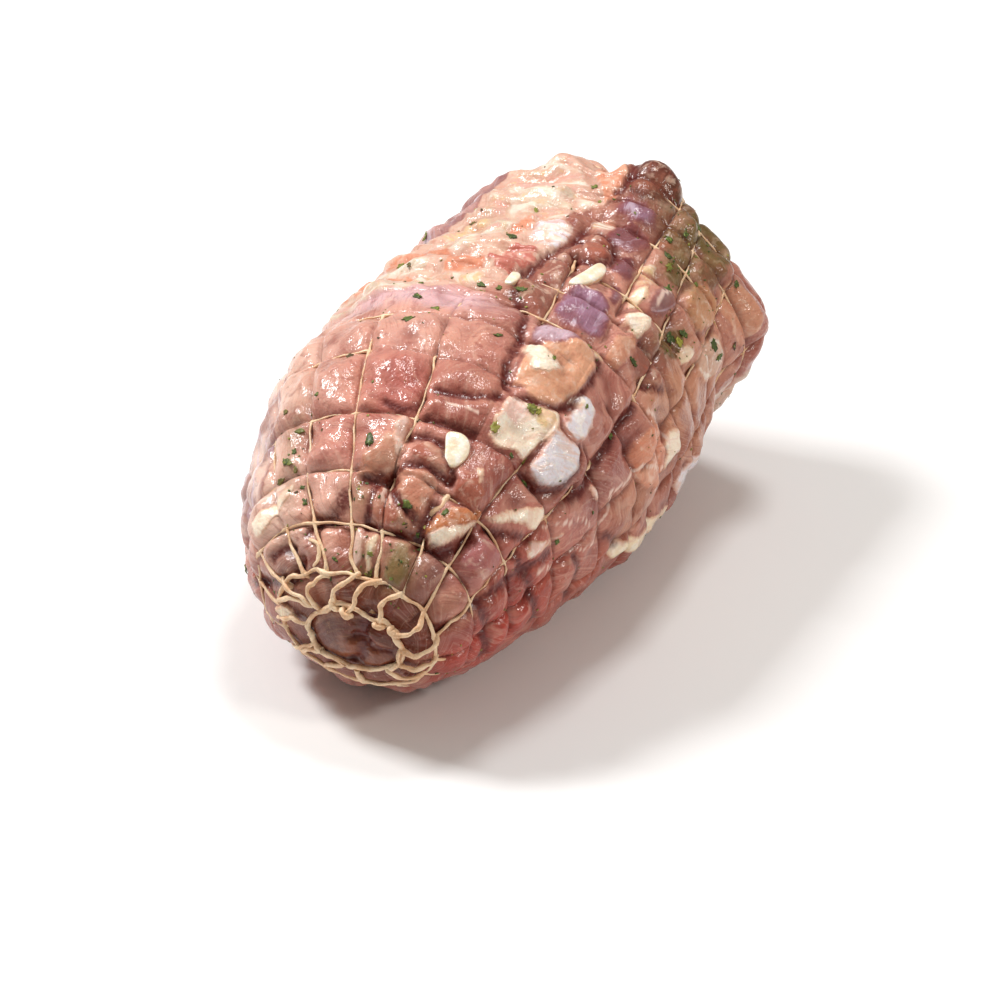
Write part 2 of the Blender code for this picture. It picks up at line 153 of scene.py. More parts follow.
def outward(station, angle):
    station, angle = np.broadcast_arrays(np.asarray(station, float), np.asarray(angle, float))
    ahead = level_point(np.minimum(station + STATION_STEP, 1), angle)
    behind = level_point(np.maximum(station - STATION_STEP, 0), angle)
    round_step = level_point(station, angle + ANGLE_STEP) - level_point(station, angle - ANGLE_STEP)
    normal = np.cross(round_step, ahead - behind)
    length = np.linalg.norm(normal, axis=-1, keepdims=True)
    tip = np.zeros_like(normal)
    tip[..., 1] = np.where(station < 0.5, -1.0, 1.0)
    return np.where(length > 1e-12, normal / np.maximum(length, 1e-12), tip)


def all_angles(seen):
    hidden = STRAND_COUNT - len(seen)
    rest = np.linspace(seen[-1], seen[0] + 360, hidden + 2)[1:]
    return np.concatenate([seen, rest])


def strand_angle(number, station):
    turns = np.floor(number / STRAND_COUNT)
    within = number - turns * STRAND_COUNT
    numbers = np.arange(STRAND_COUNT + 1)
    angle = COLLAR_TWIST * np.clip((TWIST_ENDS - station) / 0.1, 0, 1.2) + 360 * turns
    for mark in range(len(STRAND_MARKS)):
        only_here = [float(other == mark) for other in range(len(STRAND_MARKS))]
        moved = (station - MARK_BLEND, station, station + MARK_BLEND)
        share = sum(np.interp(place, STRAND_MARKS, only_here) for place in moved) / len(moved)
        at_mark = all_angles([strand[mark] for strand in SEEN_STRANDS])
        angle = angle + share * np.interp(within, numbers, at_mark)
    return angle


def net_place(ring, strand):
    """Station and angle of a place given in counts of rings and strands."""
    ring, strand = np.broadcast_arrays(np.asarray(ring, float), np.asarray(strand, float))
    station = np.interp(ring, np.arange(-1, len(RINGS) + 1), RING_EDGES)
    angle = strand_angle(strand, station)
    lean = np.interp(station, LEAN_AT, LEAN_SHARE)
    return station + RING_LEAN * lean * np.sin(np.radians(angle)), angle


def from_left(number):
    """A strand's number, or a place between strands, counted from the leftmost seen one on."""
    return (number + LEFT_STRANDS) % STRAND_COUNT - LEFT_STRANDS


def angle_between(first, second):
    return (first - second + 180) % 360 - 180


def patch(station, angle, centre, reach_along, reach_round):
    """1 at the centre of a soft round patch, falling off to 0 around it."""
    along = (station - centre[0]) / reach_along
    around = angle_between(angle, centre[1]) / reach_round
    return np.exp(-0.5 * (along**2 + around**2))


def lobe_height(station, angle):
    height = np.zeros(np.broadcast(station, angle).shape)
    for at, turned, rise, reach_along, reach_round in LOBES.values():
        height += rise * patch(station, angle, (at, turned), reach_along, reach_round)
    return height


def openness(station):
    """0 where the net is gathered and lies on the meat, 1 where the meat swells through it."""
    girth = end_rounding(np.interp(station, STATION_RUN, STATION_ALONG))
    return np.clip((girth - SWELL_STARTS) / (SWELL_FULL - SWELL_STARTS), 0, 1)


def strand_thickness(station):
    return STRAND * (GATHERED_STRAND + (1 - GATHERED_STRAND) * openness(station))


def unit(vectors):
    return vectors / np.maximum(np.linalg.norm(vectors, axis=-1, keepdims=True), 1e-12)


def run_along(path):
    """The way from a path's start to each of its points."""
    return np.concatenate([[0.0], np.cumsum(np.linalg.norm(np.diff(path, axis=0), axis=1))])


def eased(share):
    return share * share * (3 - 2 * share)


def across(value, low, high, fade):
    """1 between two values, fading to 0 outside them."""
    return eased(np.clip(np.minimum(value - low, high - value) / fade + 0.5, 0, 1))


def quarter_round(distance, reach):
    """Rises from 0 to 1 over the reach, steeply at first."""
    return np.sqrt(1 - (1 - np.clip(distance / reach, 0, 1)) ** 2)


# Smooth seeded noise, made of plane waves

def waves(points, size, seed, count=14):
    """A smooth field of about unit spread that varies over the given size in metres."""
    draw = np.random.default_rng(seed)
    ways = unit(draw.normal(size=(count, 3))) * (2 * math.pi / size)
    ways *= draw.uniform(0.6, 1.4, (count, 1))
    starts = draw.uniform(0, 2 * math.pi, count)
    total = np.zeros(points.shape[:-1])
    for way, start in zip(ways, starts):
        total += np.sin(points @ way + start)
    return total * math.sqrt(2 / count)


def wander(points, size, seeds, count):
    """A field of this kind for each seed, as the coordinates of a shift."""
    return np.stack([waves(points, size, seed, count) for seed in seeds], axis=-1)


# The grid of the meat: rows and columns follow the net, closer together beside a strand

ROW_STEP = 0.00098
COLUMN_STEP = 0.00125
HIDDEN_COLUMN_STEP = 0.0028
COLUMNS_MEASURED_AT = 0.45
SHOWN_STRANDS = (-2.6, 9.4)
FEWEST_ROWS, FEWEST_COLUMNS = 5, 6
TIP_GAP = 0.06
CROWDING = 0.42


def crowded(count):
    """Shares from 0 to 1, closer together near both ends."""
    even = np.arange(count) / count
    return even - CROWDING * np.sin(2 * math.pi * even) / (2 * math.pi)


def row_counts():
    counts = []
    for number, (start, end) in enumerate(zip(RING_EDGES, RING_EDGES[1:])):
        parts = max(FEWEST_ROWS, round((end - start) * SURFACE_RUN / ROW_STEP))
        shares = crowded(parts)
        if number == 0:
            shares = np.linspace(TIP_GAP, 1, parts, endpoint=False)
        if number == len(RINGS):
            shares = np.linspace(0, 1 - TIP_GAP, parts)
        counts.append(number - 1 + shares)
    return np.concatenate(counts)


def column_counts():
    counts = []
    for strand in range(STRAND_COUNT):
        shown = SHOWN_STRANDS[0] < from_left(strand + 0.5) < SHOWN_STRANDS[1]
        step = COLUMN_STEP if shown else HIDDEN_COLUMN_STEP
        angles = strand_angle(np.linspace(strand, strand + 1, 9), COLUMNS_MEASURED_AT)
        width = run_along(level_point(COLUMNS_MEASURED_AT, angles))[-1]
        counts.append(strand + crowded(max(FEWEST_COLUMNS, round(width / step))))
    return np.concatenate(counts)


# Colours, in the screen's 0 to 255 values

TONES = {
    "rosy pink": (209, 144, 130),
    "peach pink": (228, 176, 160),
    "rosy red": (178, 84, 76),
    "peachy rose": (216, 158, 144),
    "brownish pink": (182, 114, 100),
    "dark rose": (150, 76, 64),
    "red rose": (176, 82, 68),
    "mauve brown": (134, 88, 82),
    "brown rose": (144, 84, 68),
    "rose mauve": (166, 98, 96),
    "maroon": (106, 36, 28),
    "red brown": (122, 62, 48),
    "deep red": (148, 56, 42),
    "low red": (184, 36, 14),
    "pole brown": (100, 46, 18),
    "pole purple": (92, 42, 36),
    "collar brown": (116, 54, 34),
    "peach": (210, 148, 118),
    "orange peach": (228, 168, 132),
    "brown orange": (190, 116, 66),
    "mauve": (146, 106, 134),
    "dark mauve": (112, 66, 82),
    "maroon mauve": (110, 58, 68),
    "grey mauve": (160, 132, 130),
    "lavender": (206, 178, 192),
    # Painted sheen: the lilac highlight laid on the big lobe's top
    "painted lilac sheen": (226, 182, 190),
    "cream": (250, 230, 198),
    "cream white": (252, 234, 210),
    "yellow cream": (228, 196, 148),
    "streaked cream": (208, 168, 146),
    "soft cream": (210, 190, 166),
    "pink white": (234, 196, 182),
    "bluish white": (232, 226, 232),
    "light peach": (214, 174, 154),
    "warm peach": (220, 146, 114),
    "strip brown": (146, 88, 74),
    "lobe brown": (146, 78, 62),
    "far dark": (84, 28, 18),
    "olive brown": (94, 66, 26),
    "block brown": (118, 74, 50),
    "far olive": (92, 74, 30),
    "tan": (198, 142, 102),
    "side mauve": (200, 152, 146),
    "fold brown": (160, 86, 66),
    "fold tan": (194, 132, 106),
    "pale pink": (238, 202, 186),
    "grey olive": (140, 116, 78),
    "speckled": (172, 108, 102),
    "lobe rose": (190, 106, 92),
    "side tan": (206, 146, 110),
    "low orange": (186, 86, 58),
}


def shade(red, green, blue):
    """A colour as the linear values that a mesh or a material keeps."""
    level = np.array((red, green, blue)) / 255
    return tuple(np.where(level <= 0.04045, level / 12.92, ((level + 0.055) / 1.055) ** 2.4))


def tone(name):
    return np.array(shade(*TONES[name]))


# Soft colours of the lean meat: colour, station, angle, reach along, reach round, strength

LEAN = (
    ("peach pink", 0.178, -17, 0.020, 7, 1.5),
    ("peach pink", 0.240, -34, 0.060, 9, 1.0),
    ("pale pink", 0.300, -52, 0.120, 12, 1.6),
    ("pale pink", 0.160, -45, 0.030, 8, 1.2),
    ("rosy red", 0.240, -21, 0.020, 7, 1.2),
    ("rosy red", 0.320, -3, 0.026, 9, 2.0),
    ("rosy pink", 0.320, -24, 0.035, 8, 1.5),
    ("peachy rose", 0.400, -6, 0.028, 9, 1.8),
    ("peachy rose", 0.420, -30, 0.050, 12, 1.2),
    ("brownish pink", 0.390, 15, 0.050, 6, 2.0),
    ("brownish pink", 0.485, 12, 0.020, 6, 1.8),
    # Painted sheen: a lilac highlight across the big lobe
    ("painted lilac sheen", 0.480, -22, 0.011, 14, 7.0),
    ("painted lilac sheen", 0.482, 0, 0.009, 7, 5.0),
    ("dark rose", 0.310, 22, 0.012, 7, 2.0),
    ("dark rose", 0.352, 22, 0.016, 7, 1.6),
    ("dark rose", 0.280, 40, 0.020, 8, 1.4),
    ("mauve brown", 0.150, 44, 0.024, 7, 2.2),
    ("rose mauve", 0.195, 58, 0.022, 7, 2.0),
    ("brown rose", 0.140, 63, 0.022, 8, 2.0),
    ("red rose", 0.260, 63, 0.016, 7, 1.5),
    ("maroon", 0.165, 84, 0.035, 7, 2.4),
    ("low red", 0.200, 106, 0.070, 18, 3.0),
    ("brownish pink", 0.460, 56, 0.030, 5, 1.8),
    ("dark rose", 0.420, 63, 0.018, 4, 2.2),
    ("brown rose", 0.345, 62, 0.020, 5, 1.4),
    ("speckled", 0.450, 73, 0.022, 6, 2.2),
    ("maroon", 0.390, 76, 0.014, 5, 1.6),
    ("rosy pink", 0.380, 90, 0.030, 6, 1.6),
    ("low orange", 0.370, 110, 0.050, 12, 2.4),
    ("side tan", 0.460, 95, 0.030, 8, 2.0),
    ("pink white", 0.510, 99, 0.014, 4, 1.6),
    ("side tan", 0.570, 70, 0.030, 8, 1.4),
    ("brown rose", 0.570, 13, 0.050, 5, 2.2),
    ("brown rose", 0.700, 9, 0.040, 6, 1.8),
    ("red brown", 0.815, 22, 0.030, 10, 3.0),
    ("red brown", 0.860, 22, 0.050, 10, 2.0),
    ("brown rose", 0.595, 55, 0.030, 4, 1.5),
    ("maroon", 0.110, -46, 0.016, 8, 2.0),
    ("brown rose", 0.085, -75, 0.030, 14, 1.6),
    # The browns round the near end are partly the meat's own colour, partly painted shade on that end
    ("collar brown", 0.078, 20, 0.022, 80, 4.0),
    ("pole purple", 0.025, -80, 0.030, 50, 5.0),
    ("pole brown", 0.040, 120, 0.035, 60, 5.0),
    ("pole brown", 0.010, 0, 0.030, 180, 3.0),
    ("fold brown", 0.130, -9, 0.020, 3, 2.0),
    ("peach pink", 0.130, -17, 0.018, 4, 1.6),
    ("deep red", 0.480, 130, 0.100, 14, 1.2),
    ("side tan", 0.650, 88, 0.060, 16, 1.8),
    ("deep red", 0.700, 180, 0.300, 60, 0.8),
    ("rose mauve", 0.350, -105, 0.040, 12, 1.4),
    ("brownish pink", 0.600, -125, 0.080, 14, 1.4),
    ("peach pink", 0.750, -110, 0.050, 14, 1.2),
    ("dark rose", 0.200, -110, 0.030, 12, 1.2),
    ("brown rose", 0.940, 60, 0.030, 40, 2.0),
    ("mauve brown", 0.960, -40, 0.030, 50, 2.0),
    ("red rose", 0.900, 130, 0.040, 30, 1.4),
)

# Olive stains of the marinade: station, angle, reach along, reach round, strength

STAINS = (
    (0.128, 27, 0.022, 7, 1.00),
    (0.175, 24, 0.012, 4, 0.55),
    (0.180, -1, 0.018, 4, 0.65),
    (0.107, 6, 0.005, 4, 0.60),
    (0.735, 43, 0.032, 7, 0.95),
    (0.800, 42, 0.032, 11, 1.00),
    (0.235, -36, 0.050, 3, 0.40),
    (0.130, 5, 0.030, 5, 0.40),
    (0.620, 53, 0.025, 4, 0.60),
    (0.650, 57, 0.015, 3, 0.45),
    (0.690, -24, 0.020, 6, 0.25),
    (0.530, 10, 0.012, 3, 0.45),
)

# The classes of patches, each with the colour that it has outside them

CLASSES = {"flesh": "peach", "film": "mauve", "soft": "soft cream", "fat": "cream"}

# Patches of the surface: class, colour, rise in mm, outline as stations and angles. A later one
# lies on an earlier one of its class, and fat lies on film, and film on flesh.

PATCHES = {
    "orange lobe": ("flesh", "orange peach", 1.2, (
        (.40, 27), (.384, 32.5), (.383, 39), (.40, 45), (.431, 45.5), (.459, 44), (.48, 45),
        (.50, 41), (.495, 36), (.479, 32.7), (.469, 29), (.44, 27))),
    "orange flap": ("flesh", "fold tan", 1.4, (
        (.203, -6), (.222, -3), (.24, 1), (.258, 5), (.255, 10), (.238, 12), (.222, 11.5),
        (.210, 9), (.205, 0))),
    "pale cell": ("flesh", "pale pink", 0.4, (
        (.112, -1), (.15, -3), (.153, 3), (.13, 4), (.112, 4))),
    "grey olive block": ("flesh", "grey olive", 0.6, (
        (.106, 21), (.152, 20), (.158, 29), (.13, 32), (.108, 33))),
    "dark fold": ("flesh", "fold brown", 1.6, (
        (.16, 7), (.18, 6), (.205, 6), (.205, 14), (.19, 20), (.165, 21), (.158, 14))),
    "tan fold": ("flesh", "fold tan", 1.6, (
        (.19, 20), (.205, 13), (.222, 11), (.232, 20), (.232, 28), (.205, 29), (.18, 27))),
    "upper dark fold": ("flesh", "fold brown", 1.6, (
        (.238, 14), (.255, 14), (.268, 20), (.262, 26), (.246, 31), (.236, 24))),
    "fold beside the pale wedge": ("flesh", "fold brown", 1.2, (
        (.225, 36), (.245, 33), (.262, 37), (.255, 43), (.24, 46), (.226, 42))),
    "glossy mauve cell": ("flesh", "rose mauve", 0.8, (
        (.178, 52), (.20, 50), (.225, 55), (.23, 66), (.205, 70), (.182, 64))),
    "top of the fat wedge": ("flesh", "brown orange", 2.0, (
        (.175, 31.5), (.193, 31.8), (.216, 37), (.236, 46), (.238, 49.5), (.225, 49.5),
        (.203, 42), (.178, 34.5))),
    "far left side": ("flesh", "light peach", 0.0, (
        (.47, -100), (.50, -72), (.50, -20), (.512, -8), (.52, -2), (.54, 4), (.56, 5),
        (.60, 6.5), (.63, 6.5), (.635, 8.5), (.66, 8.5), (.695, 7), (.705, 3), (.72, 1),
        (.735, 3), (.752, 7), (.757, 10), (.78, 11.5), (.80, 10.5), (.82, 8), (.84, 5),
        (.88, 3), (.90, -40), (.87, -84), (.80, -92), (.72, -88), (.66, -104), (.58, -96),
        (.53, -112))),
    "far left mauve side": ("film", "side mauve", 0.0, (
        (.63, -76), (.62, -56), (.65, -41), (.70, -37), (.76, -35), (.83, -32), (.88, -36),
        (.87, -58), (.80, -70), (.74, -66), (.69, -82))),
    "first orange lobe": ("flesh", "warm peach", 1.0, (
        (.545, -19), (.56, -21), (.585, -20), (.597, -16), (.597, -10), (.575, -7),
        (.555, -8), (.547, -12))),
    "orange row": ("flesh", "warm peach", 0.6, (
        (.575, -50), (.60, -48), (.605, -30), (.60, -22), (.585, -24), (.575, -34))),
    "low orange row": ("flesh", "warm peach", 0.4, (
        (.515, -60), (.54, -58), (.55, -36), (.54, -28), (.52, -32))),
    "orange by the herb": ("flesh", "warm peach", 0.5, (
        (.655, -12), (.68, -13), (.705, -10), (.70, -6), (.675, -8), (.655, -9))),
    "pink lobe": ("flesh", "lobe rose", 1.4, (
        (.562, 2), (.562, -4), (.59, -8), (.612, -8.5), (.632, -3), (.632, 3), (.60, 6.5),
        (.57, 5))),
    "far orange lobe": ("flesh", "warm peach", 1.2, (
        (.757, 10), (.78, 11.5), (.80, 10.5), (.82, 8), (.84, 5), (.86, 3), (.86, -8),
        (.84, -6), (.82, -3), (.80, 1), (.78, 4.5))),
    "brown strip": ("flesh", "strip brown", 0.8, (
        (.51, 11), (.53, 9), (.55, 8), (.60, 8), (.635, 9), (.64, 13), (.62, 15.5),
        (.59, 17), (.56, 19), (.53, 20), (.517, 19), (.508, 15))),
    "red brown lobe": ("flesh", "lobe brown", 1.2, (
        (.648, 15), (.68, 13.5), (.70, 16), (.695, 20), (.675, 24), (.655, 23),
        (.645, 20))),
    "far dark lobe": ("flesh", "far dark", 0.8, (
        (.787, 12), (.80, 12), (.83, 11), (.87, 9), (.93, 12), (.93, 34), (.87, 35),
        (.83, 34), (.80, 33), (.789, 28), (.787, 20))),
    "olive block": ("flesh", "block brown", 0.8, (
        (.746, 32), (.765, 30), (.785, 30), (.787, 38), (.783, 45), (.75, 46), (.745, 38))),
    "brown olive block": ("flesh", "olive brown", 0.8, (
        (.70, 38), (.742, 37), (.743, 46), (.71, 47.5), (.70, 44))),
    "brown block": ("flesh", "block brown", 0.8, (
        (.747, 47), (.79, 46), (.80, 56), (.775, 58), (.75, 55))),
    "far olive block": ("flesh", "far olive", 0.6, (
        (.79, 35), (.87, 34), (.88, 58), (.80, 57), (.79, 46))),
    "dark block": ("flesh", "olive brown", 0.4, (
        (.61, 53), (.64, 52), (.66, 54), (.655, 60), (.63, 62), (.61, 60))),
    "grey brown block": ("flesh", "strip brown", 0.5, (
        (.545, 49), (.575, 48), (.605, 51), (.607, 58), (.58, 61), (.55, 59))),
    "peach lobe": ("flesh", "tan", 1.4, (
        (.682, 55), (.69, 51.5), (.71, 49.5), (.73, 49), (.745, 50), (.752, 55),
        (.755, 64), (.72, 64.5), (.685, 60))),
    "tan side": ("flesh", "warm peach", 1.4, (
        (.468, 78), (.475, 72), (.50, 69), (.53, 71), (.545, 79), (.535, 89), (.505, 92),
        (.478, 89))),
    "peach side": ("flesh", "peach", 1.0, (
        (.757, 60), (.80, 58), (.81, 70), (.80, 80), (.765, 82), (.757, 70))),
    "pink by the ring": ("flesh", "peach", 0.6, (
        (.515, 43), (.545, 41), (.575, 44), (.58, 47), (.545, 48), (.515, 50))),
    "lavender window": ("film", "lavender", 0.5, (
        (.459, 22.7), (.473, 21.8), (.487, 22), (.505, 27), (.507, 34.8), (.49, 35),
        (.464, 30), (.457, 25.6))),
    "mauve window": ("film", "mauve", 0.8, (
        (.515, 24), (.53, 21), (.56, 20.5), (.585, 21), (.60, 24), (.596, 30), (.585, 34),
        (.57, 36), (.55, 38.5), (.525, 38.5), (.515, 33))),
    "dark mauve window": ("film", "dark mauve", 0.5, (
        (.592, 31), (.61, 31), (.632, 28), (.637, 33), (.62, 35), (.595, 35))),
    "second mauve window": ("film", "dark mauve", 0.6, (
        (.645, 25), (.67, 25), (.69, 24), (.69, 32), (.67, 33.5), (.645, 32))),
    "maroon window": ("film", "maroon mauve", 0.8, (
        (.695, 19), (.71, 17), (.743, 17), (.745, 25), (.742, 30), (.715, 31),
        (.695, 29))),
    "far mauve window": ("film", "mauve", 0.8, (
        (.747, 14), (.77, 12.5), (.784, 14), (.784, 23), (.765, 28), (.747, 27))),
    "grey window": ("film", "grey mauve", 0.6, (
        (.635, 42), (.66, 40.5), (.685, 41), (.687, 47), (.66, 49), (.637, 48))),
    "left side": ("film", "pale pink", 0.0, (
        (.17, -85), (.17, -62), (.21, -50), (.28, -46), (.36, -52), (.44, -60), (.46, -85),
        (.30, -95))),
    "near left white band": ("fat", "cream white", 0.7, (
        (.145, -60), (.150, -52), (.165, -42), (.175, -37), (.183, -33), (.192, -32),
        (.190, -36), (.18, -42), (.172, -50), (.168, -60))),
    "cream bit by a strand": ("fat", "cream", 0.6, (
        (.106, 7), (.13, 6), (.152, 7), (.155, 11), (.13, 12.5), (.107, 10))),
    "cream lump at the collar": ("fat", "cream", 1.8, (
        (.075, -98), (.092, -100), (.10, -90), (.09, -80), (.076, -80), (.070, -88))),
    "white fold at a crossing": ("fat", "pink white", 1.0, (
        (.275, 4.5), (.283, 7), (.279, 9.5), (.265, 9.5), (.245, 11.5), (.232, 11.2),
        (.235, 9.4), (.250, 7.6), (.263, 5.5))),
    "fat wedge": ("fat", "cream white", 2.0, (
        (.174, 32.9), (.188, 37), (.202, 41.4), (.226, 49), (.22, 49.8), (.204, 47.8),
        (.179, 42.8), (.166, 37), (.168, 33.8))),
    "fat strip": ("fat", "cream white", 1.2, (
        (.235, 49.9), (.262, 55.6), (.285, 60.8), (.313, 64.5), (.308, 66.3), (.296, 68.6),
        (.285, 71.5), (.277, 66.7), (.267, 62.2), (.249, 58), (.234, 52.8))),
    "pink white streak": ("fat", "pink white", 0.4, (
        (.272, 72), (.285, 74), (.295, 77), (.31, 78.5), (.327, 79), (.325, 81), (.30, 80),
        (.262, 79))),
    "pale wedge": ("fat", "cream white", 0.7, (
        (.27, 37.5), (.26, 38), (.252, 43), (.262, 41), (.272, 40))),
    "cream flap": ("fat", "cream white", 1.3, (
        (.368, 31.5), (.379, 39), (.398, 46), (.382, 47.3), (.372, 49.3), (.352, 48.8),
        (.332, 48.4), (.318, 48), (.31, 44), (.303, 38.6), (.305, 33.1), (.318, 35),
        (.324, 32), (.334, 33.5), (.351, 31))),
    "yellow of the cream flap": ("fat", "yellow cream", 0.2, (
        (.375, 39), (.387, 44), (.377, 47.5), (.360, 45.5), (.360, 41.5))),
    "pink of the cream flap": ("fat", "pink white", 0.0, (
        (.344, 31), (.36, 31), (.372, 35), (.364, 40), (.342, 39), (.337, 33.5))),
    "cream of the orange lobe": ("fat", "cream white", 0.8, (
        (.448, 22.5), (.457, 27), (.447, 30), (.450, 34), (.438, 37.5), (.418, 37),
        (.402, 31.5), (.420, 29), (.430, 24.5))),
    "cream knot": ("fat", "yellow cream", 0.8, (
        (.496, 39.5), (.513, 39), (.517, 41), (.513, 43.5), (.498, 43))),
    "bluish chunk": ("fat", "bluish white", 2.2, (
        (.368, 48), (.378, 53.5), (.381, 59.6), (.369, 62.2), (.342, 64.1), (.325, 61),
        (.308, 56.3), (.312, 52.1), (.322, 50.2), (.337, 51.4), (.351, 49.2))),
    "bluish crescent": ("fat", "bluish white", 1.2, (
        (.440, 45), (.440, 50.9), (.429, 54.6), (.411, 57.5), (.384, 57), (.378, 50.2),
        (.393, 47.6), (.415, 48.6), (.431, 46))),
    "light triangle": ("fat", "cream white", 0.6, (
        (.408, 46), (.42, 48.5), (.43, 49), (.44, 45.5))),
    "white nodule": ("fat", "cream white", 2.6, (
        (.574, 43), (.579, 39.7), (.592, 38.3), (.605, 39.7), (.61, 43), (.605, 46.3),
        (.592, 47.7), (.579, 46.3))),
    "cream nodule": ("fat", "cream", 1.2, (
        (.628, 62.5), (.634, 60), (.655, 60), (.662, 62.5), (.655, 65.5), (.634, 65.5))),
    "strip on the back": ("soft", "soft cream", 0.8, (
        (.20, -112), (.30, -106), (.42, -112), (.52, -106), (.60, -112), (.60, -120),
        (.50, -118), (.40, -124), (.28, -118), (.20, -120))),
    "patch on the far right": ("soft", "streaked cream", 0.6, (
        (.74, 100), (.80, 98), (.86, 108), (.84, 124), (.77, 122), (.73, 112))),
    "patch on the far end": ("soft", "streaked cream", 0.6, (
        (.93, -60), (.955, -70), (.962, -110), (.94, -130), (.925, -100))),
    "cream side": ("fat", "streaked cream", 0.4, (
        (.66, 67), (.70, 66), (.73, 67), (.73, 79), (.70, 81), (.665, 78))),
    "cream tip": ("fat", "cream white", 1.4, (
        (.545, 80), (.558, 78), (.575, 81), (.584, 85), (.575, 88.5), (.55, 91), (.532, 92),
        (.54, 87))),
    "white edge": ("fat", "bluish white", 1.0, (
        (.585, 104), (.62, 102), (.66, 103), (.66, 112), (.62, 114), (.59, 111))),
    "little white flap": ("fat", "pink white", 1.0, (
        (.382, 73), (.392, 72), (.40, 76), (.396, 80), (.386, 77))),
    "low fat strip": ("fat", "cream", 1.0, (
        (.425, 108), (.44, 106.5), (.46, 107), (.50, 110.5), (.54, 109.5), (.575, 112),
        (.58, 117), (.54, 119), (.50, 116), (.46, 114.5), (.43, 113))),
    "far fat, first row": ("soft", "soft cream", 0.3, (
        (.49, -60), (.512, -58), (.512, -38), (.514, -28), (.509, -22), (.494, -25),
        (.489, -40))),
    "far fat, second row": ("soft", "streaked cream", 0.3, (
        (.513, -26), (.53, -27), (.545, -23), (.543, -14), (.538, -8), (.543, -2),
        (.53, -3), (.517, -9), (.512, -17))),
    "far fat, cream bump": ("soft", "yellow cream", 0.5, (
        (.52, -9), (.535, -11), (.548, -9), (.552, -5), (.54, -3), (.525, -4))),
    "far fat, third row": ("soft", "soft cream", 0.5, (
        (.604, -34), (.625, -32), (.636, -26), (.634, -18), (.615, -18), (.604, -24))),
    "far fat, low third row": ("soft", "soft cream", 0.3, (
        (.555, -48), (.572, -46), (.574, -34), (.57, -26), (.553, -28), (.55, -38))),
    "far fat, yellow row": ("soft", "yellow cream", 0.4, (
        (.64, -34), (.665, -34), (.69, -30), (.69, -22), (.66, -22), (.642, -24))),
    "far fat, second white": ("soft", "soft cream", 0.5, (
        (.64, -21), (.66, -21), (.69, -19), (.692, -13), (.655, -13), (.641, -14))),
    "far fat, bluish": ("soft", "bluish white", 0.6, (
        (.64, 4), (.645, 8), (.67, 8), (.695, 6.5), (.702, 3), (.70, -4), (.68, -5),
        (.657, -4))),
    "far fat, mottled": ("soft", "streaked cream", 0.6, (
        (.695, -32), (.75, -32), (.81, -30), (.825, -20), (.82, -10), (.80, -4),
        (.775, 3), (.755, 6), (.735, 3), (.71, 1), (.70, -5), (.695, -16))),
    "far fat, white heart": ("soft", "soft cream", 0.4, (
        (.72, -22), (.75, -20), (.77, -12), (.765, -4), (.74, 0), (.722, -4),
        (.715, -14))),
    "far fat, cream pink": ("soft", "streaked cream", 0.8, (
        (.705, 12), (.72, 10.5), (.742, 12), (.742, 16), (.725, 17), (.708, 16))),
    "cream by the tan block": ("soft", "yellow cream", 0.5, (
        (.66, 33), (.685, 32), (.70, 33), (.695, 37), (.675, 39), (.66, 37))),
    "cream streak of the grey window": ("fat", "cream", 0.4, (
        (.61, 37), (.64, 35.5), (.66, 37), (.665, 39.5), (.64, 40), (.615, 41))),
}
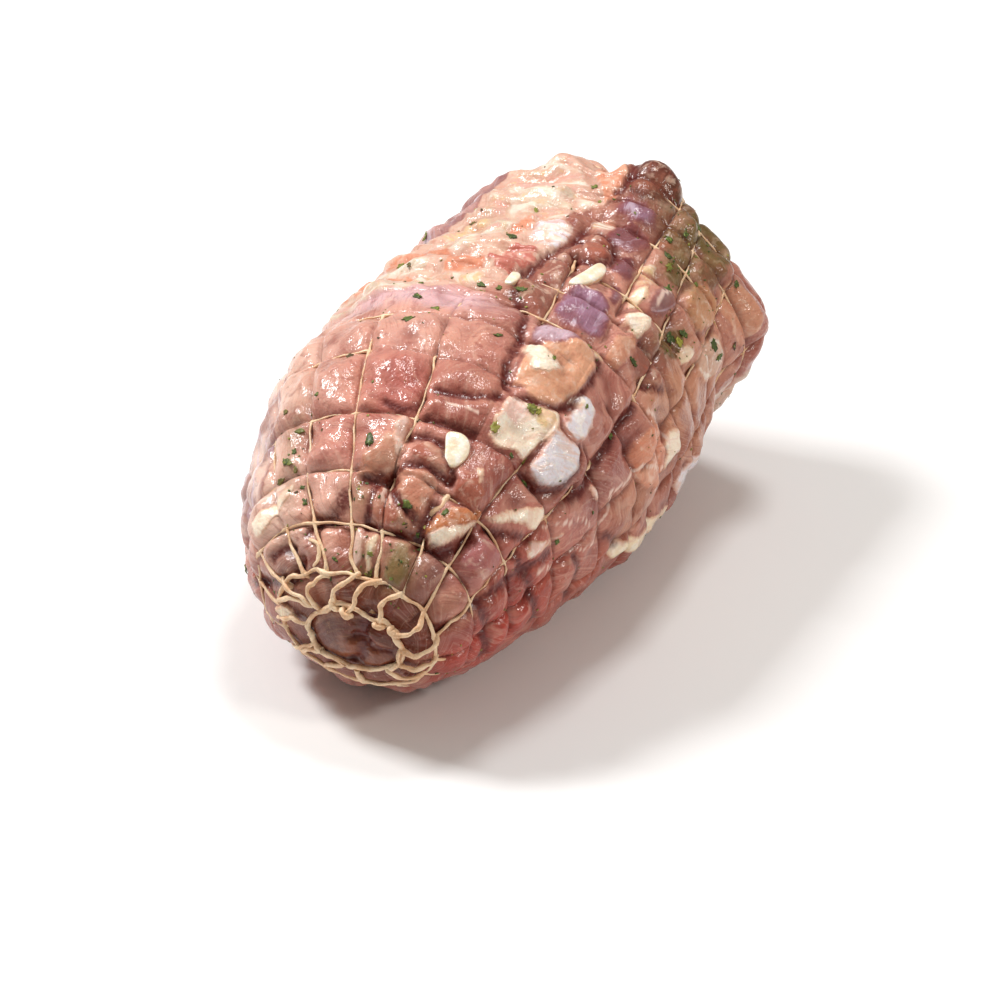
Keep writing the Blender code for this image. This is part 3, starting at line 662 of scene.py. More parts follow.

# Creases, darkened with painted shade: depth and half width in mm, the points as stations and angles

CREASES = {
    "near left": (2.2, 1.2, ((.095, -58), (.10, -44), (.11, -36))),
    "near left notch": (1.8, 1.2, ((.124, -56), (.128, -48), (.124, -42))),
    "near left, short": (1.2, 1.1, ((.137, -30), (.148, -25))),
    "left side": (1.6, 1.2, ((.155, -98), (.125, -82), (.110, -72), (.103, -58))),
    "wedge at the second ring": (2.4, 1.7, ((.15, -24), (.153, -15), (.165, -9.5), (.18, -8.5))),
    "crevice": (2.2, 1.6, ((.203, 0), (.208, 6), (.211, 12))),
    "between the folds": (1.6, 1.1, ((.208, 9), (.198, 13), (.186, 20), (.182, 26))),
    "beside the first fold": (1.0, 1.1, ((.155, 5), (.18, 4.5), (.203, 5))),
    "under the first fold": (1.4, 1.1, ((.156, 6), (.157, 14), (.162, 22), (.168, 28))),
    "beside the fat wedge": (2.4, 1.5, ((.160, 31), (.18, 30.5), (.205, 30.5))),
    "under the folds": (1.8, 1.1, ((.216, 10), (.230, 14), (.236, 22), (.238, 32))),
    "over the upper fold": (1.4, 1.1, ((.262, 12), (.272, 18), (.266, 27))),
    "left of the sliver": (1.5, 1.1, ((.243, 32), (.258, 27), (.268, 22))),
    "right of the sliver": (1.5, 1.2, ((.29, 14), (.292, 20), (.30, 30))),
    "by the white bit": (1.2, 1.1, ((.29, -2), (.287, 5), (.295, 9), (.31, 9))),
    "across the dark lobes": (1.6, 1.1, (
        (.325, 12), (.33, 18), (.335, 22), (.345, 27), (.355, 29.5))),
    "short, by the flap": (1.4, 1.1, ((.375, 28.5), (.385, 26.5), (.395, 25))),
    "edge of the big lobe": (1.4, 1.1, (
        (.395, 25), (.42, 23), (.45, 21.5), (.47, 19.5), (.485, 18), (.50, 16.5), (.51, 13),
        (.52, 10), (.53, 8), (.54, 7))),
    "lower seam": (2.4, 1.4, (
        (.35, 70), (.37, 71), (.40, 69), (.42, 67), (.44, 65.5), (.465, 64), (.49, 61.5),
        (.505, 61))),
    "far lower seam": (1.2, 1.1, ((.545, 60), (.557, 62), (.57, 64))),
    "pink lobe's edge": (1.2, 1.1, ((.57, 5), (.59, 6.5), (.63, 7))),
    "mauve edge": (1.4, 1.1, ((.60, 18.5), (.62, 16.5), (.64, 15))),
    "far dark strip": (1.6, 1.3, ((.64, 8.5), (.66, 9.5), (.68, 10), (.70, 10))),
    "round the red brown lobe": (1.4, 1.1, (
        (.645, 13), (.642, 20), (.652, 24.5), (.675, 25), (.698, 21), (.703, 15))),
    "round the orange lobe": (1.4, 1.1, (
        (.37, 33), (.38, 38), (.388, 45), (.43, 47), (.47, 45.5), (.50, 43))),
    "round the chunk": (1.4, 1.1, (
        (.305, 52), (.312, 60), (.33, 63.5), (.355, 64), (.378, 61.5), (.386, 58))),
    "under the wedge": (1.6, 1.2, ((.165, 36), (.172, 44), (.19, 48.5), (.21, 51))),
    "under the strip": (1.2, 1.1, ((.225, 53), (.24, 59), (.255, 65), (.275, 71))),
    "low ring crease": (1.8, 1.4, ((.178, 75), (.188, 90), (.193, 97), (.20, 115))),
    "second low ring crease": (1.8, 1.4, ((.25, 72), (.264, 88), (.275, 104), (.285, 115))),
    "third low ring crease": (1.4, 1.1, ((.345, 95), (.35, 100), (.36, 116))),
    "fourth low ring crease": (1.2, 1.2, ((.41, 97), (.425, 101), (.44, 107))),
    "low strand crease": (1.4, 1.2, ((.11, 72), (.15, 75), (.20, 78), (.25, 80), (.30, 83))),
    "far dark lobe's edge": (1.6, 1.2, ((.787, 10), (.81, 11.5), (.84, 9), (.87, 6))),
    "pole": (2.8, 1.6, ((.052, 24), (.026, 20), (.012, 60), (.016, 130), (.034, 168), (.05, -175))),
    "far pole": (1.8, 1.4, ((.955, 60), (.968, 30), (.975, -20), (.972, -80), (.96, -120))),
    "pole, across": (1.6, 1.1, ((.010, 20), (.028, 95), (.045, 100))),
}

# Pale seams of skin: rise and half width in mm, the points as stations and angles

SEAMS = {
    "over the speckled cell": (0.4, 0.5, ((.415, 80), (.44, 81), (.47, 80), (.50, 82), (.53, 90))),
    "round the low cell": (0.4, 0.45, ((.335, 91), (.37, 94), (.40, 92), (.425, 86), (.415, 80))),
    "rim of the tan side": (0.5, 0.6, ((.525, 66), (.54, 70), (.547, 76), (.552, 82))),
    "under the tan side": (0.3, 0.4, ((.49, 93), (.52, 94), (.55, 91))),
    "low right": (0.3, 0.4, ((.25, 84), (.28, 86), (.31, 90))),
    "second low right": (0.3, 0.4, ((.30, 72), (.33, 76), (.36, 80), (.37, 86))),
    "through the lens": (0.3, 0.4, ((.585, 21.5), (.59, 25), (.598, 28))),
    "grey window": (0.4, 0.6, ((.65, 44), (.665, 43), (.68, 44))),
    "over the garlic": (0.3, 0.4, ((.31, 14), (.315, 20), (.32, 27))),
    "on the first fold": (0.3, 0.35, ((.205, 8), (.195, 8.5), (.185, 11))),
    "on the first fold, second": (0.3, 0.35, ((.20, 11), (.192, 12), (.185, 15))),
    "near left rim": (0.3, 0.5, ((.185, -60), (.183, -50), (.19, -40))),
}

# Where the net is hardly felt: line, number, from, to, share of the furrow that is left

SLACK = (
    ("ring", 5, -1.0, 4.0, 0.45),
    ("ring", 6, -0.6, 4.0, 0.60),
    ("ring", 7, -2.0, 3.5, 0.60),
    ("ring", 8, -3.0, 2.6, 0.55),
    ("ring", 9, -3.0, 2.9, 0.50),
    ("ring", 10, -3.0, 3.6, 0.50),
    ("ring", 11, -3.0, 3.6, 0.45),
    ("ring", 12, -3.0, 3.6, 0.40),
    ("ring", 5, 4.2, 5.6, 0.10),
    ("ring", 6, 4.2, 5.6, 0.15),
    ("ring", 4, 3.2, 4.9, 0.30),
    ("ring", 3, 2.3, 3.7, 0.40),
    *(("strand", number, 6.0, 14.5, 0.0) for number in range(3)),
    ("strand", 3, 6.9, 14.5, 0.0),
    ("strand", 3, 5.1, 6.9, 0.65),
    ("strand", 4, 2.2, 6.6, 0.25),
    ("strand", 4, 9.4, 14.5, 0.25),
    ("strand", 5, 4.2, 8.2, 0.20),
    ("strand", 6, 4.6, 6.9, 0.50),
    ("strand", 7, 4.6, 8.0, 0.50),
)
SLACK_FADE = 0.25


def furrow_share(kind, nearest, along):
    """How much of its furrow a line of the net presses in, at counts along it."""
    share = np.ones(along.shape)
    for line, number, low, high, left in SLACK:
        if line == kind:
            share = share * (1 - (1 - left) * across(along, low, high, SLACK_FADE) * (nearest == number))
    return share


# The surface of the meat

CELL_EDGE = 0.0052
FURROW = -0.0008
FULLER = 1.5
ROUNDED = 0.65
UNDER_GATHERED_NET = -0.0012
ROLLS = ((0.0007, 0.020, 21), (0.00022, 0.0080, 22))
FAT_ROLLS = ((0.00085, 0.011, 61), (0.00045, 0.0055, 62))
ALONG_ROLLS = (0.35, 1.0, 0.35)
POLE_BULGE, POLE_REACH, POLE_COLOUR_REACH = 0.0030, 0.052, 0.05
TIP_LIFT = 0.00005

WARP_SIZE = 0.006
PATCH_WARP, LINE_WARP = 0.45, 0.0003
PATCH_MARGIN, LINE_MARGIN = 8.0, 0.007
OUTSIDE = -9.0
OVERLAP_SEEN = 4
RIM, RIM_OUTSIDE = 1.1, 0.3
CREASE_REACH, SEAM_REACH = 1.9, 1.2
LINE_FADE = 1.9

# Painted shade in the hollows: how often the height is blurred, and the depth below the blur that is
# fully shaded
HOLLOW_SHADE_BLURS, HOLLOW_SHADE_DEPTH = 14, 0.0010
FLOW_BEND, FLOW_SIZE = 0.006, 0.05
FIBRE_SEED, FIBRE_TURN = 8, 70
LEFT_FIBRES = 0.15


def cell_sizes(ring, strand):
    """The length along the body and the width round it of the net's cell at each place."""
    row, column = np.floor(ring), np.floor(strand)
    ends = [level_point(*net_place(count, column + 0.5)) for count in (row, row + 1)]
    sides = [level_point(*net_place(row + 0.5, count)) for count in (column, column + 1)]
    return [np.linalg.norm(after - before, axis=-1) for before, after in (ends, sides)]


def cell_blend(values, ring, strand):
    """The cells' values, changing smoothly from the middle of one cell to the next."""
    row, column = np.floor(ring - 0.5), np.floor(strand - 0.5)
    down, over = eased(ring - 0.5 - row), eased(strand - 0.5 - column)
    total = np.zeros(ring.shape)
    for one, part in ((0, 1 - down), (1, down)):
        for two, width in ((0, 1 - over), (1, over)):
            at = np.clip(row.astype(int) + 1 + one, 0, len(values) - 1)
            total += values[at, (column.astype(int) + two) % STRAND_COUNT] * part * width
    return total


def swelling(ring, strand, station, angle):
    """How far the meat stands out between the lines of the net."""
    draw = np.random.default_rng(SWELL_SEED)
    cells = (len(RINGS) + 1, STRAND_COUNT)
    spread = draw.uniform(1 - SWELL_SPREAD, 1 + SWELL_SPREAD, cells)
    full = FULLER * SWELL * cell_blend(spread, ring, strand)
    for at, turned, share, reach_along, reach_round in SWELL_REGIONS.values():
        full = full * (1 + share * patch(station, angle, (at, turned), reach_along, reach_round))
    near_ring, near_strand = np.round(ring), np.round(strand)
    number = from_left(near_strand)
    felt = (
        furrow_share("ring", near_ring, strand - near_strand + number),
        furrow_share("strand", number, ring),
    )
    edges, crown = 1.0, 1.0
    for share, count, size in zip(felt, (ring % 1, strand % 1), cell_sizes(ring, strand)):
        from_edge = np.minimum(count, 1 - count) * size
        edges = edges * (1 - share * (1 - quarter_round(from_edge, CELL_EDGE)))
        crown = crown * (1 - share * (1 - np.sqrt(np.sin(np.pi * count))))
    shape = ROUNDED * edges + (1 - ROUNDED) * crown
    open_net = openness(station)
    return (FURROW + full * shape) * open_net + UNDER_GATHERED_NET * (1 - open_net)


def rounded_outline(points, rounds=2):
    """The outline with its corners cut off in each round."""
    outline = np.array(points, float)
    for _ in range(rounds):
        after = np.roll(outline, -1, axis=0)
        cut = np.stack([outline * 0.75 + after * 0.25, outline * 0.25 + after * 0.75], axis=1)
        outline = cut.reshape(-1, 2)
    return outline


def smooth_path(points, parts=10):
    """A path through the points with its corners rounded."""
    points = np.array(points, float)
    numbers = np.arange(len(points))
    shares = np.linspace(0, len(points) - 1, parts * (len(points) - 1) + 1)
    path = np.stack([np.interp(shares, numbers, axis) for axis in points.T], axis=1)
    for _ in range(parts * 2):
        path[1:-1] = (path[:-2] + 2 * path[1:-1] + path[2:]) / 4
    return path


def flattened(centre, places):
    """Stations and angles as mm along and across the surface, measured from a centre."""
    at, turned = centre
    step = level_point(at + STATION_STEP, turned) - level_point(at - STATION_STEP, turned)
    turn = level_point(at, turned + ANGLE_STEP) - level_point(at, turned - ANGLE_STEP)
    along = (places[..., 0] - at) * np.linalg.norm(step) / (2 * STATION_STEP)
    around = angle_between(places[..., 1], turned) * np.linalg.norm(turn) / (2 * ANGLE_STEP)
    return np.stack([along, around], axis=-1) * MM


def near_path(spots, path, margin):
    """Which spots lie in the box round a path, with a margin."""
    return ((spots > path.min(axis=0) - margin) & (spots < path.max(axis=0) + margin)).all(axis=-1)


def depth_inside(spots, outline):
    """The distance from each spot to an outline, below zero outside it."""
    nearest = np.full(len(spots), np.inf)
    inside = np.zeros(len(spots), bool)
    for start, end in zip(outline, np.roll(outline, -1, axis=0)):
        run = end - start
        share = np.clip((spots - start) @ run / max(run @ run, 1e-12), 0, 1)
        nearest = np.minimum(nearest, np.linalg.norm(spots - start - share[:, None] * run, axis=1))
        if start[1] != end[1]:
            spans = (start[1] > spots[:, 1]) != (end[1] > spots[:, 1])
            cross = start[0] + (spots[:, 1] - start[1]) * run[0] / run[1]
            inside ^= spans & (spots[:, 0] < cross)
    return np.where(inside, nearest, -nearest)


class Surface:
    """The meat's grid: its places, its height above the level of the net and its colours."""

    def __init__(self):
        self.rings, self.strands = np.meshgrid(row_counts(), column_counts(), indexing="ij")
        self.station, self.angle = net_place(self.rings, self.strands)
        self.turned = angle_between(self.angle, 0)
        self.level = level_point(self.station, self.angle)
        self.normal = outward(self.station, self.angle)
        self.open_net = openness(self.station)
        self.height = self.rolled_height()
        self.warp = wander(self.level, WARP_SIZE, (31, 32), 8)
        shape = self.station.shape
        self.edges = {kind: np.full(shape, OUTSIDE) for kind in CLASSES}
        self.colours = {kind: np.tile(tone(name), (*shape, 1)) for kind, name in CLASSES.items()}
        self.crease, self.seam = np.zeros(shape), np.zeros(shape)
        for kind, colour, rise, outline in PATCHES.values():
            self.add_patch(kind, colour, rise, outline)
        for depth, half_width, points in CREASES.values():
            self.add_line(depth, half_width, points, self.crease, CREASE_REACH)
        for rise, half_width, points in SEAMS.values():
            self.add_line(-rise, half_width, points, self.seam, SEAM_REACH)

    def rolled_height(self):
        """The lobes, the swelling through the net and the soft rolls of flesh and fat."""
        height = lobe_height(self.station, self.angle)
        height += swelling(self.rings, self.strands, self.station, self.angle)
        height += POLE_BULGE * np.clip(1 - self.station / POLE_REACH, 0, 1) ** 0.5
        for depth, size, seed in ROLLS:
            height += depth * waves(self.level, size, seed) * (0.4 + 0.6 * self.open_net)
        far_fat = across(self.turned, -90, 8, 6) * across(self.station, 0.50, 0.92, 0.05)
        for depth, size, seed in FAT_ROLLS:
            height += far_fat * depth * waves(self.level * ALONG_ROLLS, size, seed, 10)
        return height

    def add_patch(self, kind, colour, rise, outline):
        """A patch: how deep inside it each place is, its colour and its rise with a round rim."""
        outline = rounded_outline(outline)
        centre = outline.mean(axis=0)
        flat = flattened(centre, outline)
        spots = flattened(centre, np.stack([self.station, self.turned], axis=-1))
        close = near_path(spots, flat, PATCH_MARGIN)
        depth = depth_inside(spots[close] + self.warp[close] * PATCH_WARP, flat)
        old = self.edges[kind][close]
        newer = (depth > 0) | (depth > old)
        deepest = np.maximum(depth, np.minimum(old, OVERLAP_SEEN))
        self.edges[kind][close] = np.where(newer, deepest, old)
        before = self.colours[kind][close]
        self.colours[kind][close] = np.where(newer[:, None], tone(colour), before)
        self.height[close] += rise / MM * quarter_round(depth + RIM_OUTSIDE, RIM)

    def add_line(self, depth, half_width, points, kept, reach):
        """A crease, or a ridge where the depth is below zero, along a smooth path."""
        path = smooth_path([level_point(*point) for point in points])
        close = near_path(self.level, path, LINE_MARGIN)
        spots = self.level[close]
        spots[:, ::2] += self.warp[close] * LINE_WARP
        gaps = np.linalg.norm(spots[:, None] - path[None], axis=2).min(axis=1) * MM
        self.height[close] -= depth / MM * np.exp(-((gaps / (half_width * reach)) ** 2))
        # For a crease, kept takes the mask of its painted shade; for a seam, the mask of its pale skin
        kept[close] = np.maximum(kept[close], np.clip(LINE_FADE - gaps / half_width, 0, 1))

    def lean(self):
        """The soft colours of the lean meat, deeper red low down, partly the meat's own red and partly
        painted shade of the sides that face the floor.
        """
        # Partly painted shade: the sides that face down are mixed towards deep red
        below = np.clip((np.abs(self.turned) - 60) / 50, 0, 1) * 1.5
        total = 1 + below
        colour = tone("rosy pink") + below[..., None] * tone("deep red")
        for name, at, turned, along, around, strength in LEAN:
            share = 2.0 * strength * patch(self.station, self.angle, (at, turned), along, around)
            colour += share[..., None] * tone(name)
            total += share
        return colour / total[..., None]

    def stain(self):
        stain = np.zeros(self.station.shape)
        for at, turned, along, around, strength in STAINS:
            here = patch(self.station, self.angle, (at, turned), along, around)
            stain = np.maximum(stain, strength * here)
        return stain

    def points(self):
        points = self.level + self.normal * self.height[..., None]
        points[..., 2] = np.maximum(points[..., 2], 0.0)
        return points

    def cavity(self):
        """How far each place lies below its surroundings, 0 to 1, as the mask of painted shade in the
        hollows, less where light is soft.
        """
        blurred = self.height.copy()
        for _ in range(HOLLOW_SHADE_BLURS):
            blurred = (np.roll(blurred, 1, 1) + 2 * blurred + np.roll(blurred, -1, 1)) / 4
            blurred[1:-1] = (blurred[:-2] + 2 * blurred[1:-1] + blurred[2:]) / 4
        right = np.clip((self.turned + 15) / 35, 0, 1)
        low_left = np.clip((-self.turned - 80) / 20, 0, 1)
        near = np.clip((0.16 - self.station) / 0.05, 0, 1)
        far_fat = np.clip((self.station - 0.50) / 0.04, 0, 1) * np.clip((6 - self.turned) / 6, 0, 1)
        share = np.maximum(np.maximum(0.45 + 0.55 * right, low_left), near)
        share = share * (1 - 0.6 * far_fat * (1 - low_left))
        share = share * across(self.station, 0.018, 0.985, 0.012)
        return np.clip((blurred - self.height) / HOLLOW_SHADE_DEPTH, 0, 1) * share

    def flow(self):
        """Coordinates along and round the body that bend gently, in metres."""
        x, z = self.level[..., 0], self.level[..., 2]
        way = np.stack([self.station * SURFACE_RUN, np.radians(self.turned) * MEAN_GIRTH_RADIUS], axis=-1)
        over_the_end = np.stack([x * 0.8 + z * 0.6, z * 0.8 - x * 0.6], axis=-1)
        end = np.clip(1 - self.open_net * 1.5, 0, 1)[..., None]
        way = way + (over_the_end - way) * end
        way += FLOW_BEND * wander(self.level, FLOW_SIZE, (71, 72), 8)
        return np.concatenate([way, np.zeros_like(end)], axis=-1)

    def grain(self, flow):
        """The same, turned for each cell so that the first axis runs along its fibres."""
        draw = np.random.default_rng(FIBRE_SEED)
        turns = draw.uniform(-FIBRE_TURN, FIBRE_TURN, (len(RINGS) + 1, STRAND_COUNT))
        row = np.clip(np.floor(self.rings).astype(int) + 1, 0, len(RINGS))
        column = np.floor(self.strands).astype(int) % STRAND_COUNT
        left = across(self.turned, -75, -22, 6) * across(self.station, 0.16, 0.50, 0.05)
        cellwise = (left < 0.5) & (row > 0)
        way = np.where(cellwise, np.radians(turns)[row, column], LEFT_FIBRES)
        first = flow[..., 0] * np.cos(way) + flow[..., 1] * np.sin(way)
        second = flow[..., 1] * np.cos(way) - flow[..., 0] * np.sin(way)
        return np.stack([first, second, (row * 7 + column) * 0.1 * cellwise], axis=-1)


# Meshes

def round_faces(rows, columns, start=0, closed=False):
    """Quads between rows of points that each close on themselves, and the last row on the first."""
    row, column = np.meshgrid(np.arange(rows - 1 + closed), np.arange(columns), indexing="ij")
    after, below = (column + 1) % columns, (row + 1) % rows
    corners = [row * columns + after, below * columns + after]
    corners += [below * columns + column, row * columns + column]
    return np.stack(corners, axis=-1).reshape(-1, 4) + start


def tipped_faces(rows, columns, start=0, roll=0):
    """The same quads, and triangles to two tips that come after the points of the rows."""
    faces = np.roll(round_faces(rows, columns, start), roll, axis=1).tolist()
    first_tip, last = start + rows * columns, start + (rows - 1) * columns
    for k in range(columns):
        after = (k + 1) % columns
        faces += [(first_tip, start + after, start + k), (first_tip + 1, last + k, last + after)]
    return faces


def add_values(mesh, name, kind, values):
    store = mesh.attributes.new(name, kind, "POINT")
    field = {"FLOAT": "value", "FLOAT_VECTOR": "vector", "FLOAT_COLOR": "color"}[kind]
    store.data.foreach_set(field, np.ascontiguousarray(values, np.float32).ravel())


def with_opacity(colours):
    return np.concatenate([colours, np.ones((*colours.shape[:-1], 1))], axis=-1)


def new_piece(name, vertices, faces, material, node):
    mesh = bpy.data.meshes.new(name)
    mesh.from_pydata([tuple(point) for point in vertices], [], [tuple(face) for face in faces])
    mesh.shade_smooth()
    mesh.materials.append(material)
    piece = bpy.data.objects.new(name, mesh)
    bpy.context.scene.collection.objects.link(piece)
    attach(piece, "root")
    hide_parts(node)
    return piece


def make_meat(surface, material):
    points = surface.points()
    tips = [points[0].mean(axis=0), points[-1].mean(axis=0)]
    tips[0][1] -= TIP_LIFT
    tips[1][1] += TIP_LIFT
    vertices = np.concatenate([points.reshape(-1, 3), tips]).tolist()
    faces = tipped_faces(*points.shape[:2])
    piece = new_piece("meat_surface", vertices, faces, material, "meat")

    def add(name, kind, values):
        """Values for every point, with the mean of the end rows at the tips."""
        values = values.reshape(*points.shape[:2], -1)
        ends = [values[0].mean(axis=0), values[-1].mean(axis=0)]
        values = np.concatenate([values.reshape(-1, values.shape[-1]), ends])
        add_values(piece.data, name, kind, values)

    add("lean", "FLOAT_COLOR", with_opacity(surface.lean()))
    for kind in CLASSES:
        add(kind, "FLOAT_COLOR", with_opacity(surface.colours[kind]))
        add(kind + "_edge", "FLOAT", surface.edges[kind])
    add("crease", "FLOAT", surface.crease)
    add("seam", "FLOAT", surface.seam)
    # The mask of painted shade in the hollows
    add("cavity", "FLOAT", surface.cavity())
    add("stain", "FLOAT", surface.stain())
    add("pole", "FLOAT", np.clip(1.6 - surface.station / POLE_COLOUR_REACH, 0, 1))
    flow = surface.flow()
    add("flow", "FLOAT_VECTOR", flow)
    add("grain", "FLOAT_VECTOR", surface.grain(flow))
    return piece


# Materials

class Shades:
    """A material with short ways to add and join its nodes."""

    def __init__(self, name, values):
        self.material = bpy.data.materials.new(name)
        self.material.use_nodes = True
        self.tree = self.material.node_tree
        self.shader = self.tree.nodes["Principled BSDF"]
        for socket, value in values.items():
            self.shader.inputs[socket].default_value = value
        self.place = self.node("TexCoord", "Object")

    def join(self, value, socket):
        if isinstance(value, bpy.types.NodeSocket):
            self.tree.links.new(value, socket)
        elif isinstance(value, tuple):
            socket.default_value = (*value, 1.0)[: len(socket.default_value)]
        else:
            socket.default_value = value

    def node(self, kind, output, *values, **settings):
        """A new node with its settings and its first inputs, as one of its outputs."""
        node = self.tree.nodes.new("ShaderNode" + kind)
        for name, value in settings.items():
            setattr(node, name, value)
        for value, socket in zip(values, node.inputs):
            self.join(value, socket)
        return node.outputs[output]

    def attribute(self, name, output="Fac"):
        return self.node("Attribute", output, attribute_name=name)

    def noise(self, size, detail=2.0, distortion=0.0, vector=None, stretch=None):
        vector = vector or self.place
        if stretch:
            vector = self.node("VectorMath", 0, vector, stretch, operation="MULTIPLY")
        noise = self.node("TexNoise", "Fac", vector)
        entries = {"Scale": 1 / size, "Detail": detail, "Distortion": distortion}
        for name, value in entries.items():
            noise.node.inputs[name].default_value = value
        return noise

    def sum(self, operation, *values, clamp=False):
        return self.node("Math", 0, *values, operation=operation, use_clamp=clamp)

    def between(self, value, low, high, start=0.0, end=1.0):
        values = (value, low, high, start, end)
        return self.node("MapRange", 0, *values, interpolation_type="SMOOTHSTEP")

    def mix(self, share, first, second, blend="MIX"):
        mixed = self.node("Mix", 2, share, data_type="RGBA", blend_type=blend)
        self.join(first, mixed.node.inputs[6])
        self.join(second, mixed.node.inputs[7])
        return mixed

    def mottled(self, colour, *layers):
        """A colour with tints laid over it where fields pass from one value to another."""
        for field, low, high, share, tint in layers:
            tint = shade(*tint) if isinstance(tint, tuple) else tint
            colour = self.mix(self.between(field, low, high, 0, share), colour, tint)
        return colour

    def relief(self, height, entry="Normal"):
        """Bumps from a height in metres."""
        bump = self.node("Bump", 0, 1.0, 1.0)
        self.join(height, bump.node.inputs["Height"])
        self.join(bump, self.shader.inputs[entry])

    def finish(self, colour, height):
        self.join(colour, self.shader.inputs["Base Color"])
        self.relief(height)
        return self.material


def threads(s, size, share):
    """Thin curved lines where a smooth noise passes its middle."""
    field = s.noise(size, 1.0, 0.6)
    gap = s.sum("ABSOLUTE", s.sum("SUBTRACT", field, 0.5))
    line = s.between(gap, 0.0, 0.012, share, 0.0)
    return s.sum("MULTIPLY", line, s.between(s.noise(size * 1.3, 1.0), 0.45, 0.6))


def meat_material():
    s = Shades("raw_meat", {
        "Roughness": 0.44, "Specular IOR Level": 0.20, "Coat Weight": 0.60, "Coat Roughness": 0.12,
        "Subsurface Weight": 0.12, "Subsurface Radius": (1.0, 0.32, 0.20), "Subsurface Scale": 0.0024,
    })
    grain, flow = s.attribute("grain", "Vector"), s.attribute("flow", "Vector")
    fibres = s.noise(0.0011, 2.0, 0.0, grain, (0.10, 1, 1))
    bundles = s.noise(0.0045, 3.0, 0.4, grain, (0.16, 1, 1))
    streaks = s.noise(0.0012, 2.0, 0.0, flow, (0.12, 1, 1))
    folds = s.noise(0.0045, 3.0, 0.4, flow, (0.20, 1, 1))
    # Streaks for the film's painted glare highlights and for the fat's own pink tint
    painted_glare_and_pink_streaks = s.noise(0.0040, 3.0, 0.6, flow, (0.30, 1, 1))
    rows = s.noise(0.0045, 3.0, 0.5, flow, (1, 0.25, 1))
    blotches = s.noise(0.016, 3.0, 0.3)
    spots = s.noise(0.0042, 3.0, 0.5)
    fine = s.noise(0.0015, 2.0)
    ragged = s.sum("MULTIPLY_ADD", s.noise(0.0022, 3.0), 1.7, -0.85)
    # The mask of painted shade in the hollows
    cavity = s.attribute("cavity")

    def edge_of(kind):
        """How many mm inside a patch of a class, with a ragged edge."""
        return s.sum("ADD", s.attribute(kind + "_edge"), ragged)

    lean = s.mottled(
        s.attribute("lean", "Color"),
        (blotches, 0.50, 0.72, 0.40, (226, 160, 138)),
        (blotches, 0.50, 0.30, 0.50, (134, 50, 40)),
        (spots, 0.46, 0.28, 0.45, (136, 52, 42)),
    )
    paler = s.mix(0.55, lean, shade(250, 208, 188))
    lean = s.mottled(
        lean,
        (bundles, 0.54, 0.70, 0.36, paler),
        (fibres, 0.54, 0.72, 0.28, paler),
        (fine, 0.60, 0.76, 0.40, paler),
        (fibres, 0.45, 0.28, 0.28, (124, 46, 36)),
    )
    lean = s.mix(threads(s, 0.014, 0.18), lean, shade(236, 198, 176))
    lean = s.mix(threads(s, 0.006, 0.08), lean, shade(230, 188, 164))
    lean = s.mix(1.0, lean, (0.94, 0.96, 0.92), "MULTIPLY")
    # Darker brown towards the near end: partly the meat's own colour, partly painted shade on that end
    colour = s.mix(s.attribute("pole"), lean, (0.72, 0.48, 0.26), "MULTIPLY")

    flesh = s.mottled(
        s.attribute("flesh", "Color"),
        (spots, 0.50, 0.70, 0.55, (240, 208, 186)),
        (spots, 0.46, 0.28, 0.40, (178, 96, 70)),
        (streaks, 0.45, 0.28, 0.25, (176, 92, 72)),
        (blotches, 0.52, 0.70, 0.40, (236, 198, 172)),
        (blotches, 0.48, 0.30, 0.35, (190, 120, 96)),
    )
    colour = s.mottled(colour, (edge_of("flesh"), -0.5, 0.8, 0.90, flesh))

    film = s.attribute("film", "Color")
    film = s.mix(s.between(blotches, 0.40, 0.62, 0.65, 0), film, shade(112, 54, 62))
    # Painted highlight: pale lavender glare streaks on the film
    film = s.mottled(
        film,
        (spots, 0.48, 0.30, 0.45, (104, 54, 74)),
        (painted_glare_and_pink_streaks, 0.52, 0.72, 0.60, (214, 198, 216)),
    )
    edge = edge_of("film")
    film = s.mix(s.between(edge, 0.2, 3.0, 0.75, 0), film, shade(134, 62, 58))
    colour = s.mottled(colour, (edge, -0.7, 1.0, 0.86, film))

    soft = s.mottled(
        s.attribute("soft", "Color"),
        (spots, 0.47, 0.32, 0.60, (224, 184, 130)),
        (rows, 0.51, 0.62, 0.70, (212, 156, 146)),
        (rows, 0.49, 0.40, 0.80, (238, 226, 210)),
        (fine, 0.52, 0.68, 0.35, (238, 224, 208)),
    )
    # Painted shade: the hollows of the fat tinted a darker orange-pink
    soft = s.mix(s.sum("MULTIPLY", cavity, 2.4, clamp=True), soft, shade(222, 156, 128))
    wide = s.sum("MULTIPLY_ADD", ragged, 1.6, s.attribute("soft_edge"))
    colour = s.mottled(colour, (wide, -1.6, 1.6, 0.90, soft))

    fat = s.mottled(
        s.attribute("fat", "Color"),
        (spots, 0.50, 0.66, 0.55, (255, 248, 236)),
        (spots, 0.44, 0.28, 0.40, (230, 184, 160)),
        (fine, 0.45, 0.32, 0.20, (208, 158, 124)),
        (painted_glare_and_pink_streaks, 0.50, 0.62, 0.50, (232, 192, 168)),
    )
    edge = edge_of("fat")
    fat = s.mix(s.between(edge, 0.0, 1.5, 0.65, 0), fat, shade(214, 148, 112))
    colour = s.mottled(
        colour, (edge, -0.35, 0.45, 0.96, fat), (s.attribute("seam"), 0.1, 0.9, 0.75, (244, 214, 198))
    )

    stained = s.sum("MULTIPLY", s.attribute("stain"), s.between(spots, 0.35, 0.65, 0.55, 1.0))
    colour = s.mix(stained, colour, shade(116, 94, 48))
    fat_edge = s.attribute("fat_edge")
